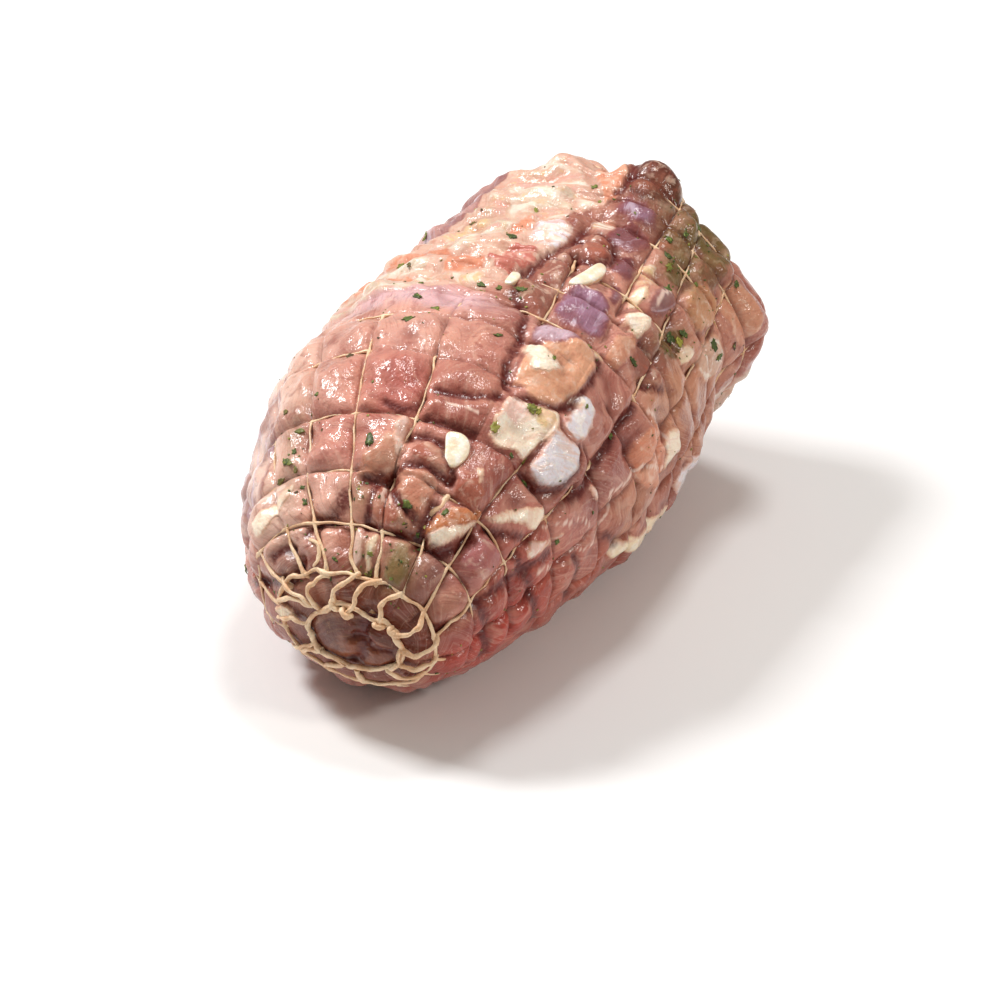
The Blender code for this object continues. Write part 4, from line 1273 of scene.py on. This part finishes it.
    # Painted shade: the hollows darkened towards a deep red, less on the fat
    hollow = s.sum("MULTIPLY", cavity, s.between(fine, 0.2, 0.8, 0.75, 1.0))
    hollow = s.sum("MULTIPLY", hollow, s.between(fat_edge, 0.0, 1.5, 0.80, 0.25))
    colour = s.mix(hollow, colour, shade(92, 18, 8))
    # Painted shade: the creases darkened to a near-black red
    crease_shade = s.sum("MULTIPLY", s.attribute("crease"), s.between(fine, 0.25, 0.6, 0.55, 1.0))
    colour = s.mix(s.sum("MULTIPLY", crease_shade, 0.92), colour, shade(88, 14, 8))

    wet = s.sum("MULTIPLY", s.noise(0.0040, 2.0), 0.00034)
    wet = s.sum("MULTIPLY_ADD", streaks, 0.00012, wet)
    wet = s.sum("MULTIPLY_ADD", folds, 0.00040, wet)
    wet = s.sum("MULTIPLY_ADD", s.noise(0.0013, 2.0), 0.00024, wet)
    s.relief(wet, "Coat Normal")
    crumbly = s.between(fat_edge, 0.0, 0.8, 0.0, 0.0005)
    height = s.sum("MULTIPLY_ADD", fine, 0.00024, wet)
    return s.finish(colour, s.sum("MULTIPLY_ADD", spots, crumbly, height))


def netting_material():
    s = Shades("netting", {
        "Roughness": 0.55, "Coat Weight": 0.25, "Coat Roughness": 0.25,
        "Subsurface Weight": 0.10, "Subsurface Radius": (1.0, 0.6, 0.4), "Subsurface Scale": 0.0012,
    })
    yarn, fuzz = s.attribute("yarn"), s.noise(0.0005, 2.0)
    mottled = s.between(s.noise(0.006, 3.0), 0.35, 0.65)
    colour = s.mix(mottled, shade(222, 174, 130), shade(246, 214, 176))
    # Painted shade: darker brown in the grooves between the twisted plies
    colour = s.mix(s.between(yarn, 0.0, 0.45, 0.5, 0.0), colour, shade(168, 112, 76))
    colour = s.mottled(colour, (fuzz, 0.5, 0.75, 0.4, (252, 238, 216)))
    height = s.sum("MULTIPLY_ADD", fuzz, 0.00022, s.sum("MULTIPLY", yarn, 0.00018))
    return s.finish(colour, height)


def garlic_material():
    s = Shades("garlic", {
        "Roughness": 0.38, "Coat Weight": 0.7, "Coat Roughness": 0.12,
        "Subsurface Weight": 0.25, "Subsurface Radius": (1.0, 0.8, 0.5), "Subsurface Scale": 0.0020,
    })
    spots = s.between(s.noise(0.003, 3.0), 0.4, 0.7)
    colour = s.mix(spots, shade(244, 226, 196), shade(253, 247, 234))
    # Tan where rim is high: partly the cut edge's own colour, partly painted shade under the slice's rim
    colour = s.mix(s.sum("MULTIPLY", s.attribute("rim"), 0.75), colour, shade(220, 172, 122))
    return s.finish(colour, s.sum("MULTIPLY", s.noise(0.0014, 2.0), 0.00025))


def herb_material():
    s = Shades("herbs", {"Roughness": 0.6, "Coat Weight": 0.15, "Coat Roughness": 0.2})
    veins = s.noise(0.0008, 2.0)
    colour = s.mottled(
        s.attribute("leaf", "Color"),
        (veins, 0.52, 0.72, 0.50, (160, 172, 66)),
        (veins, 0.48, 0.30, 0.50, (40, 52, 10)),
    )
    return s.finish(colour, s.sum("MULTIPLY", veins, 0.00018))


# The net

TUBE_SIDES = 8
TUBE_STEP = 0.00125
LINE_SPOTS = 1200
TWIST_PITCH = 0.0042
PLY_LOW, PLY_RISE = 0.78, 0.30
KNOT_SIZE, KNOT_REACH = 1.45, 0.0012
CELL_LENGTH = 0.018
SUNK, SUNK_FADE = -0.0030, 0.3
WANDER, GATHERED_WANDER, WANDER_SIZE = 0.00035, 0.0009, 0.012
GATHERED_GROWTH = 0.35
SLIM = 0.82
UNEVEN, UNEVEN_SIZE = 0.14, 0.009
PRESSED = 0.00010
FLOOR_GAP = 1.1
RING_SEED, STRAND_SEED = 50, 90

LOOP_WANDER, LOOP_WANDER_SIZE = 0.0003, 0.006
LOOP_UNEVEN, LOOP_UNEVEN_SIZE = 0.12, 0.005
LOOP_END_DEPTH = 0.6
LOOP_SEED = 300

# Where the meat covers the net: line, number, from, to, in counts of the other lines

COVERED = (
    *(("strand", number, -0.5, 0.92) for number in range(-3, 10)),
    ("ring", 2, 3.25, 4.7),
    ("ring", 3, 2.1, 3.95),
    ("ring", 3, 6.3, 8.6),
    ("ring", 4, 3.1, 5.8),
    ("ring", 4, 6.2, 8.6),
    ("ring", 5, 2.1, 8.4),
    ("ring", 6, 3.4, 8.0),
    ("ring", 7, -2.4, 3.6),
    ("ring", 7, 5.1, 5.7),
    ("ring", 7, 6.6, 8.0),
    ("ring", 8, -2.4, 3.4),
    ("ring", 8, 4.3, 5.7),
    ("ring", 8, 6.4, 8.0),
    ("ring", 9, -2.4, 4.5),
    ("ring", 9, 6.1, 7.6),
    ("ring", 10, -2.4, 5.4),
    ("ring", 10, 6.1, 7.5),
    ("ring", 11, -2.4, 4.8),
    ("ring", 12, -2.4, 4.3),
    ("ring", 12, 4.8, 5.9),
    ("ring", 13, -2.4, 4.7),
    ("strand", 0, 4.2, 14.0),
    ("strand", 1, 4.1, 14.0),
    ("strand", 2, 6.1, 14.0),
    ("strand", 3, 2.1, 3.25),
    ("strand", 3, 5.1, 5.9),
    ("strand", 3, 6.8, 14.0),
    ("strand", 4, 2.15, 7.05),
    ("strand", 4, 9.4, 14.0),
    ("strand", 5, 4.2, 8.9),
    ("strand", 6, 5.15, 7.0),
    ("strand", 7, 1.7, 9.0),
    ("strand", 8, 1.7, 9.5),
)

# Loose loops of the gathered end: thickness, lift above the net in mm, stations and angles

LOOPS = (
    (1.7, 1.5, ((.105, 4), (.096, 1), (.084, -11), (.072, -18), (.058, -22))),
    (1.7, 1.5, ((.093, -20), (.086, -32), (.078, -44), (.067, -47), (.052, -50))),
    (1.8, 1.6, ((.105, 19), (.087, 6), (.069, 4), (.057, 1), (.048, -10))),
    (1.8, 1.6, ((.106, 36), (.089, 28), (.075, 26), (.066, 34), (.050, 35))),
    (1.8, 1.6, ((.108, 54), (.094, 61), (.076, 65), (.060, 63), (.056, 52))),
    (1.7, 1.5, ((.110, 78), (.094, 88), (.078, 94), (.060, 90))),
    (1.7, 1.4, ((.108, 98), (.091, 109), (.073, 117), (.058, 116))),
    (1.7, 1.4, ((.103, 118), (.088, 128), (.072, 132), (.058, 136))),
    (1.6, 1.2, ((.104, -60), (.086, -59), (.072, -53), (.060, -56))),
    (1.6, 1.2, ((.102, -86), (.087, -72), (.074, -59), (.060, -56))),
    (1.6, 1.2, ((.105, -105), (.088, -98), (.072, -90), (.056, -88))),
    (1.5, 1.2, ((.104, -135), (.085, -128), (.056, -124))),
    (1.5, 0.9, ((.131, -28), (.127, -23), (.119, -22.5), (.109, -25), (.102, -32))),
    (2.2, 1.8, ((.053, -13), (.048, -10), (.046, -3))),
    (2.2, 1.8, ((.052, 31), (.049, 37), (.053, 42))),
    (2.2, 1.8, ((.061, 52), (.057, 55), (.060, 60))),
    (1.9, 1.4, ((.062, -22), (.055, -24), (.050, -18))),
    (1.6, 1.3, ((.060, 88), (.056, 104), (.060, 118), (.056, 132))),
    (2.2, 0.8, ((.198, 31.4), (.212, 33.0), (.226, 33.6))),
)


class Tubes:
    """Twisted two-ply yarns, all in one mesh."""

    def __init__(self):
        self.vertices, self.faces, self.yarn, self.count = [], [], [], 0

    def add(self, path, normals, radii, closed):
        before, after = (path[-1:], path[:1]) if closed else (path[:1], path[-1:])
        longer = np.concatenate([before, path, after])
        tangent = unit(longer[2:] - longer[:-2])
        side = unit(np.cross(tangent, normals))
        top = unit(np.cross(side, tangent))
        run = run_along(path)
        pitch = run[-1] / max(1, round(run[-1] / TWIST_PITCH)) if closed else TWIST_PITCH
        turns = np.linspace(0, 2 * math.pi, TUBE_SIDES, endpoint=False)
        plies = np.abs(np.cos(turns - (math.pi * run / pitch)[:, None]))
        reach = radii[:, None] * (PLY_LOW + PLY_RISE * plies)
        spots = path[:, None] + side[:, None] * (np.cos(turns) * reach)[..., None]
        spots += top[:, None] * (np.sin(turns) * reach)[..., None]
        self.vertices.append(spots.reshape(-1, 3))
        self.yarn.append(plies.ravel())
        self.faces += round_faces(len(path), TUBE_SIDES, self.count, closed).tolist()
        first = list(range(self.count, self.count + TUBE_SIDES))
        self.count += len(path) * TUBE_SIDES
        if not closed:
            self.faces += [first, list(range(self.count - TUBE_SIDES, self.count))[::-1]]


def covered_share(kind, number, along):
    share = np.zeros(along.shape)
    for line, other, low, high in COVERED:
        if line == kind and other == number:
            share = np.maximum(share, across(along, low, high, SUNK_FADE))
    return share


def lay_line(tubes, kind, number):
    """One ring or one lengthwise strand of the net, in its furrow."""
    ring = kind == "ring"
    ends = (-LEFT_STRANDS, STRAND_COUNT - LEFT_STRANDS) if ring else (0, len(RINGS) - 1)

    def place(counts):
        return net_place(number, counts) if ring else net_place(counts, number)

    counts = np.linspace(*ends, LINE_SPOTS)
    run = run_along(level_point(*place(counts)))
    even = np.linspace(0, run[-1], round(run[-1] / TUBE_STEP) + 1)
    counts = np.interp(even, run, counts)[: -1 if ring else None]
    station, angle = place(counts)
    points, normals = level_point(station, angle), outward(station, angle)
    open_net = openness(station)
    gathered = 1 - open_net
    seed = number + (RING_SEED if ring else STRAND_SEED)
    shift = wander(points, WANDER_SIZE, range(seed, seed + 300, 100), 6)
    shift -= (shift * normals).sum(axis=-1, keepdims=True) * normals
    shift *= (WANDER + (GATHERED_WANDER - WANDER) * gathered)[:, None]
    covered = covered_share(kind, number if ring else from_left(number), counts)
    height = lobe_height(station, angle) + SUNK * covered - PRESSED * open_net
    path = points + normals * height[:, None] + shift
    radii = strand_thickness(station) / 2 * (SLIM + (1 + GATHERED_GROWTH - SLIM) * gathered)
    radii = radii * (1 + UNEVEN * waves(points, UNEVEN_SIZE, seed + 7, 6))
    to_knot = np.abs(counts - np.round(counts)) * CELL_LENGTH
    radii = radii * (1 + (KNOT_SIZE - 1) * np.exp(-((to_knot / KNOT_REACH) ** 2)))
    path[:, 2] = np.maximum(path[:, 2], radii * FLOOR_GAP)
    tubes.add(path, normals, radii, ring)


def lay_loop(tubes, thickness, lift, points):
    """A loose loop over the net, with both ends sunk in the meat."""
    station, angle = smooth_path(points)[::2].T
    base, normals = level_point(station, angle), outward(station, angle)
    ends = np.linspace(-1, 1, len(station)) ** 6
    height = lobe_height(station, angle) + (lift - ends * (lift + LOOP_END_DEPTH)) / MM
    path = base + normals * height[:, None]
    seeds = range(LOOP_SEED, LOOP_SEED + 3)
    path += wander(base, LOOP_WANDER_SIZE, seeds, 5) * LOOP_WANDER
    uneven = 1 + LOOP_UNEVEN * waves(base, LOOP_UNEVEN_SIZE, LOOP_SEED + 10, 5)
    tubes.add(path, normals, thickness / 2 / MM * uneven, False)


def make_netting(material):
    tubes = Tubes()
    for number in range(len(RINGS)):
        lay_line(tubes, "ring", number)
    for number in range(STRAND_COUNT):
        lay_line(tubes, "strand", number)
    for thickness, lift, points in LOOPS:
        lay_loop(tubes, thickness, lift, points)
    vertices = np.concatenate(tubes.vertices).tolist()
    piece = new_piece("net_yarns", vertices, tubes.faces, material, "netting")
    add_values(piece.data, "yarn", "FLOAT", np.concatenate(tubes.yarn))


# Garlic: station, angle, length, width, thickness, turn in degrees

GARLIC = {
    "garlic_sliver_1": (0.271, 27.5, 0.0140, 0.0085, 0.0018, 27),
    "garlic_sliver_2": (0.613, 22.5, 0.0200, 0.0058, 0.0018, -10),
    "garlic_sliver_3": (0.549, 5, 0.0090, 0.0042, 0.0015, 5),
}

# The rows of a slice from the underside to the top: size, height in thicknesses

GARLIC_ROWS = (
    (0.90, -0.60), (0.98, -0.30), (1.0, 0.30), (0.995, 0.66), (0.96, 0.88), (0.90, 0.98),
    (0.6, 1.10), (0.3, 1.18),
)
GARLIC_ROUND = 48
GARLIC_BEND = 0.10
GARLIC_BLUNT_ENDS, GARLIC_BLUNT_SIDES = 0.85, 0.75
GARLIC_UNEVEN, GARLIC_FULLER = 0.02, 0.12
GARLIC_LANDS = 0.8
GARLIC_UNDERSIDE, GARLIC_TOP = -0.45, 1.05
GARLIC_SINKS = 0.0001

# Herbs: the places of the solid's flecks in counts of the net, then the scattered ones

HERB_PLACES = ((3.45, 2.4), (3.25, 0.55), (2.5, 3.5), (4.75, 4.6), (9.45, 6.35), (10.4, 7.35))
HERB_SCATTERED = 14
HERB_NEAREST = 0.016
HERB_LOWEST = 0.03
HERB_IN_CELL = (0.35, 0.65)
HERB_SEED = 11
HERB_LENGTH = 3.8

LEAF_TONES = (
    (60, 76, 16), (78, 94, 24), (98, 108, 34), (122, 122, 42), (154, 146, 50), (104, 90, 36),
    (84, 60, 24),
)

# Herb flecks that show: station, angle, length in mm, tone, turn in degrees

LEAVES = (
    (.240, -2, 5.2, 0, 20), (.212, -36, 3.6, 3, 60), (.205, -33, 3.0, 5, 10), (.250, -34, 3.8, 3, 80),
    (.225, -34.5, 2.6, 1, 30), (.198, -42, 3.4, 5, 120), (.276, -41.5, 2.2, 5, 15),
    (.289, -28.5, 2.2, 1, 70), (.272, -31, 1.8, 2, 40), (.171, -29, 2.4, 0, 25), (.186, -30, 2.0, 1, 95),
    (.113, -12.5, 2.8, 0, 60), (.107, 10, 3.0, 5, 30), (.129, 10, 2.6, 3, 80), (.190, 21.5, 3.6, 0, 100),
    (.205, 36, 3.0, 1, 0), (.172, 29, 2.4, 1, 45), (.350, -24, 3.4, 6, 85), (.437, 16, 3.0, 1, 130),
    (.452, -7.5, 3.6, 2, 70), (.285, 10.5, 2.4, 6, 10), (.316, 34.5, 4.0, 4, 20), (.367, 39, 3.8, 3, 60),
    (.369, 41, 3.2, 4, 0), (.443, 33.5, 2.2, 2, 30), (.308, 54.5, 3.4, 1, 75), (.320, 48.5, 2.6, 3, 20),
    (.307, 44, 2.0, 1, 50), (.427, 50, 2.2, 2, 10), (.456, 64, 3.4, 0, 40), (.318, 82, 2.2, 1, 60),
    (.470, 85, 2.6, 5, 15), (.527, -2.5, 3.6, 1, 80), (.514, 0, 3.0, 3, 60), (.526, 3.7, 2.8, 2, 20),
    (.531, 10.5, 4.2, 1, 110), (.506, 38, 2.2, 1, 40), (.562, -33, 2.6, 5, 20), (.510, -21, 2.2, 2, 70),
    (.650, -9.5, 4.0, 0, 50), (.682, -29, 2.8, 5, 10), (.725, -21.5, 2.2, 2, 30), (.769, -15, 2.4, 1, 65),
    (.715, -10, 2.4, 3, 20), (.787, 1.5, 2.8, 2, 80), (.762, 7, 2.2, 3, 15), (.640, 55, 4.6, 0, 30),
    (.646, 58, 3.8, 4, 75), (.690, 43.5, 3.2, 1, 20), (.728, 37, 4.0, 0, 60), (.715, 39.5, 3.4, 3, 10),
    (.745, 45.5, 3.4, 1, 90), (.785, 37, 3.4, 0, 40), (.810, 39, 3.2, 2, 70), (.710, 69.5, 4.8, 0, 35),
    (.800, 62, 3.2, 1, 20), (.757, 78.5, 2.8, 6, 60), (.735, 50, 3.0, 2, 15), (.76, 34, 3.2, 1, 50),
)
LEAF_CORNERS, LEAF_LOBED = 17, 0.42
LEAF_RINGS = ((0.55, 0.0), (1.0, 0.0), (1.0, 1.0), (0.55, 1.0))
LEAF_FOLD = 0.12
LEAF_GAP, LEAF_THICK, LEAF_THICKER = 0.00008, 0.00016, 0.00004
CRUMBS, CRUMB_CORNERS = 300, 6
CRUMB_SIZES = (0.5, 1.5)
CRUMB_LOWEST = 0.02
CRUMB_RINGS = (0.6, 14.5)
CRUMB_STRANDS = (-2.5, STRAND_COUNT - 2.5)
STAIN_CRUMBS = 16
CRUMB_SEED = 17

# How far above the surface a thing starts that is let down on it
DROP = 0.03


def land_on(tree, start, normal):
    """Where something let down against the normal meets the surface, and the surface's normal."""
    return tree.ray_cast(start + normal * DROP, -normal)[:2]


def surface_place(station, angle):
    """A point at the level of the net and its normal, as Blender's vectors."""
    return [Vector(found(station, angle).tolist()) for found in (level_point, outward)]


def surface_axes(normal, turn):
    """Two axes along the surface, the first turned away from the body's length."""
    lengthwise = (Vector((0, 1, 0)) - normal * normal.y).normalized()
    turned = math.radians(turn)
    first = lengthwise * math.cos(turned) + normal.cross(lengthwise) * math.sin(turned)
    return first, normal.cross(first)


def blunted(value, power):
    return math.copysign(abs(value) ** power, value)


def make_garlic(name, tree, material):
    station, angle, length, width, thickness, turn = GARLIC[name]
    level, normal = surface_place(station, angle)
    point = land_on(tree, level, normal)[0]
    long_axis, short_axis = surface_axes(normal, turn)
    outline = []
    for k in range(GARLIC_ROUND):
        a = 2 * math.pi * k / GARLIC_ROUND
        x = length / 2 * blunted(math.cos(a), GARLIC_BLUNT_ENDS)
        y = width / 2 * blunted(math.sin(a), GARLIC_BLUNT_SIDES) * (1 + GARLIC_FULLER * math.cos(a))
        bend = GARLIC_BEND * width * (8 * (x / length) ** 2 - 1)
        uneven = 1 + GARLIC_UNEVEN * math.sin(3 * a + station * 40)
        x, y = x * uneven, y * uneven + bend
        outline.append((x, long_axis * x + short_axis * y))
    heights = []
    for _, shift in outline:
        found = land_on(tree, point + shift * GARLIC_LANDS, normal)[0]
        heights.append((found - point).dot(normal) if found else 0.0)
    base = point + normal * (sorted(heights)[len(heights) // 2] - GARLIC_SINKS)
    vertices, rim = [], []
    for size, rise in GARLIC_ROWS:
        for x, shift in outline:
            vertices.append(base + normal * thickness * rise + shift * size)
            # rim: tan round the slice's edge and at one end, partly the cut edge's own tan, partly
            # painted shade
            rim.append(max(0.0, 1 - abs(rise - 0.3) / 0.5) + max(0.0, x / length * 2.4 - 0.9))
    vertices += [base + normal * thickness * rise for rise in (GARLIC_UNDERSIDE, GARLIC_TOP)]
    faces = tipped_faces(len(GARLIC_ROWS), GARLIC_ROUND, roll=1)
    piece = new_piece(name.replace("sliver", "slice"), vertices, faces, material, name)
    add_values(piece.data, "rim", "FLOAT", np.array(rim + [0.0, 0.0]))


def scattered_place(ring, strand):
    return tuple(float(value) for value in net_place(ring, strand))


def herb_places():
    """The same places as the flecks of the solid."""
    draw = np.random.default_rng(HERB_SEED)
    places = [scattered_place(*counts) for counts in HERB_PLACES]
    while len(places) < len(HERB_PLACES) + HERB_SCATTERED:
        ring = draw.integers(1, len(RINGS) - 2) + draw.uniform(*HERB_IN_CELL)
        strand = draw.integers(0, STRAND_COUNT) + draw.uniform(*HERB_IN_CELL)
        place = scattered_place(ring, strand)
        gaps = np.array([level_point(*other) for other in places]) - level_point(*place)
        high = level_point(*place)[2] > HERB_LOWEST
        if high and np.linalg.norm(gaps, axis=1).min() > HERB_NEAREST:
            places.append(place)
    return places


class Leaves:
    """Thin curled bits of leaf, all in one mesh."""

    def __init__(self, tree):
        self.tree, self.vertices, self.faces, self.colours = tree, [], [], []
        self.draw = np.random.default_rng(CRUMB_SEED)

    def add(self, station, angle, length, tone_number, turn, corners=LEAF_CORNERS):
        level, normal = surface_place(station, angle)
        point, facing = land_on(self.tree, level, normal)
        if point is None:
            return
        normal = (normal + (facing if facing.dot(normal) >= 0 else -facing)).normalized()
        first, second = surface_axes(normal, turn)
        colour = np.array(shade(*LEAF_TONES[tone_number])) * self.draw.uniform(0.8, 1.2)
        curl = self.draw.uniform(-0.12, 0.22)
        lobes = self.draw.uniform(1 - LEAF_LOBED, 1 + LEAF_LOBED, corners)
        narrow = self.draw.uniform(0.5, 0.8)
        self.faces += tipped_faces(len(LEAF_RINGS), corners, len(self.vertices), roll=1)
        half, thick = length / 2 / MM, LEAF_THICK + LEAF_THICKER * length
        for size, layer in LEAF_RINGS:
            for k in range(corners):
                a = 2 * math.pi * k / corners
                x = math.cos(a) * half * size * lobes[k]
                y = math.sin(a) * half * size * lobes[k] * narrow
                fold = LEAF_FOLD * half * math.sin(3 * a) * (size == 1)
                rise = curl * (x / half) ** 2 * half + fold + layer * thick + LEAF_GAP
                self.vertices.append(point + first * x + second * y + normal * rise)
                self.colours.append(colour * (1.0 if size == 1 else 0.85))
        self.vertices += [point + normal * LEAF_GAP, point + normal * (thick + 0.0001)]
        self.colours += [colour * 0.8, colour * 0.9]

    def add_crumb(self, draw, station, angle, power):
        length = CRUMB_SIZES[0] + (CRUMB_SIZES[1] - CRUMB_SIZES[0]) * draw.random() ** power
        number = int(draw.integers(0, len(LEAF_TONES)))
        self.add(station, angle, length, number, draw.uniform(0, 180), CRUMB_CORNERS)


def make_herbs(tree, material):
    leaves = Leaves(tree)
    for leaf in LEAVES:
        leaves.add(*leaf)
    for number, place in enumerate(herb_places()):
        leaves.add(*place, HERB_LENGTH, number % 4, 37 * number)
    draw = np.random.default_rng(CRUMB_SEED + 1)
    made = 0
    while made < CRUMBS:
        place = scattered_place(draw.uniform(*CRUMB_RINGS), draw.uniform(*CRUMB_STRANDS))
        if level_point(*place)[2] >= CRUMB_LOWEST:
            leaves.add_crumb(draw, *place, 2)
            made += 1
    for at, turned, along, around, strength in STAINS:
        for _ in range(int(STAIN_CRUMBS * strength)):
            place = at + draw.normal() * along, turned + draw.normal() * around
            leaves.add_crumb(draw, *place, 1)
    piece = new_piece("herb_flecks", leaves.vertices, leaves.faces, material, "meat")
    add_values(piece.data, "leaf", "FLOAT_COLOR", with_opacity(np.array(leaves.colours)))


# Floor, lights and camera

VIEW_AZIMUTH, VIEW_ELEVATION = 28.36, 32.02
VIEW_DISTANCE = 1.825
VIEW_SHIFT = (0.00507, 0.02504)
LENS, SENSOR = 180.0, 36.0
AIM = Vector((0.0, 0.0, 0.05))
WHITE, WARM_WHITE, WARM_SURROUNDINGS = (1, 1, 1), (1.0, 0.93, 0.86), (1, 0.94, 0.87, 1)
SURROUNDINGS = 0.28


def view_axes():
    turn, rise = math.radians(VIEW_AZIMUTH), math.radians(VIEW_ELEVATION)
    back = Vector((math.sin(turn), -math.cos(turn), 0)) * math.cos(rise)
    back.z = math.sin(rise)
    right = Vector((math.cos(turn), math.sin(turn), 0))
    return back, right, back.cross(right)


def make_camera():
    back, right, up = view_axes()
    data = bpy.data.cameras.new("camera")
    data.lens = LENS
    data.sensor_width = SENSOR
    data.clip_start, data.clip_end = 0.05, 20
    camera = bpy.data.objects.new("camera", data)
    bpy.context.scene.collection.objects.link(camera)
    place = back * VIEW_DISTANCE + right * VIEW_SHIFT[0] + up * VIEW_SHIFT[1] + Vector(CENTRING)
    turn = Matrix((right, up, back)).transposed().to_4x4()
    camera.matrix_world = Matrix.Translation(place) @ turn
    bpy.context.scene.camera = camera


def make_floor():
    s = Shades("floor", {"Roughness": 0.6, "Base Color": (0.92, 0.92, 0.92, 1)})
    bpy.ops.mesh.primitive_plane_add(size=8, location=(0, 0, 0))
    floor = bpy.context.object
    floor.name = "floor"
    floor.data.materials.append(s.material)


def add_light(name, place, size, power, colour=WHITE):
    data = bpy.data.lights.new(name, "AREA")
    data.shape = "SQUARE"
    data.size = size
    data.energy = power
    data.color = colour
    lamp = bpy.data.objects.new(name, data)
    lamp.location = place
    lamp.rotation_euler = (AIM - place).to_track_quat("-Z", "Y").to_euler()
    bpy.context.scene.collection.objects.link(lamp)


def make_lights():
    back, right, _ = view_axes()
    ahead = Vector((-back.x, -back.y, 0)).normalized()
    high = Vector((0, 0, 1))
    add_light("key", right * -0.70 + ahead * 0.30 + high * 1.0, 0.28, 13.0)
    add_light("top", right * 0.15 + ahead * 0.35 + high * 1.25, 0.28, 6.0)
    add_light("fill", right * 0.9 - ahead * 0.6 + high * 0.9, 0.2, 5.0, WARM_WHITE)
    world = bpy.data.worlds.new("studio")
    world.use_nodes = True
    background = world.node_tree.nodes["Background"]
    background.inputs["Color"].default_value = WARM_SURROUNDINGS
    background.inputs["Strength"].default_value = SURROUNDINGS
    bpy.context.scene.world = world
    bpy.context.scene.view_settings.view_transform = "Standard"


def main():
    make_camera()
    meat = make_meat(Surface(), meat_material())
    corners = [tuple(face.vertices) for face in meat.data.polygons]
    tree = BVHTree.FromPolygons([vertex.co.copy() for vertex in meat.data.vertices], corners)
    make_netting(netting_material())
    garlic = garlic_material()
    for name in GARLIC:
        make_garlic(name, tree, garlic)
    make_herbs(tree, herb_material())
    make_floor()
    make_lights()


main()
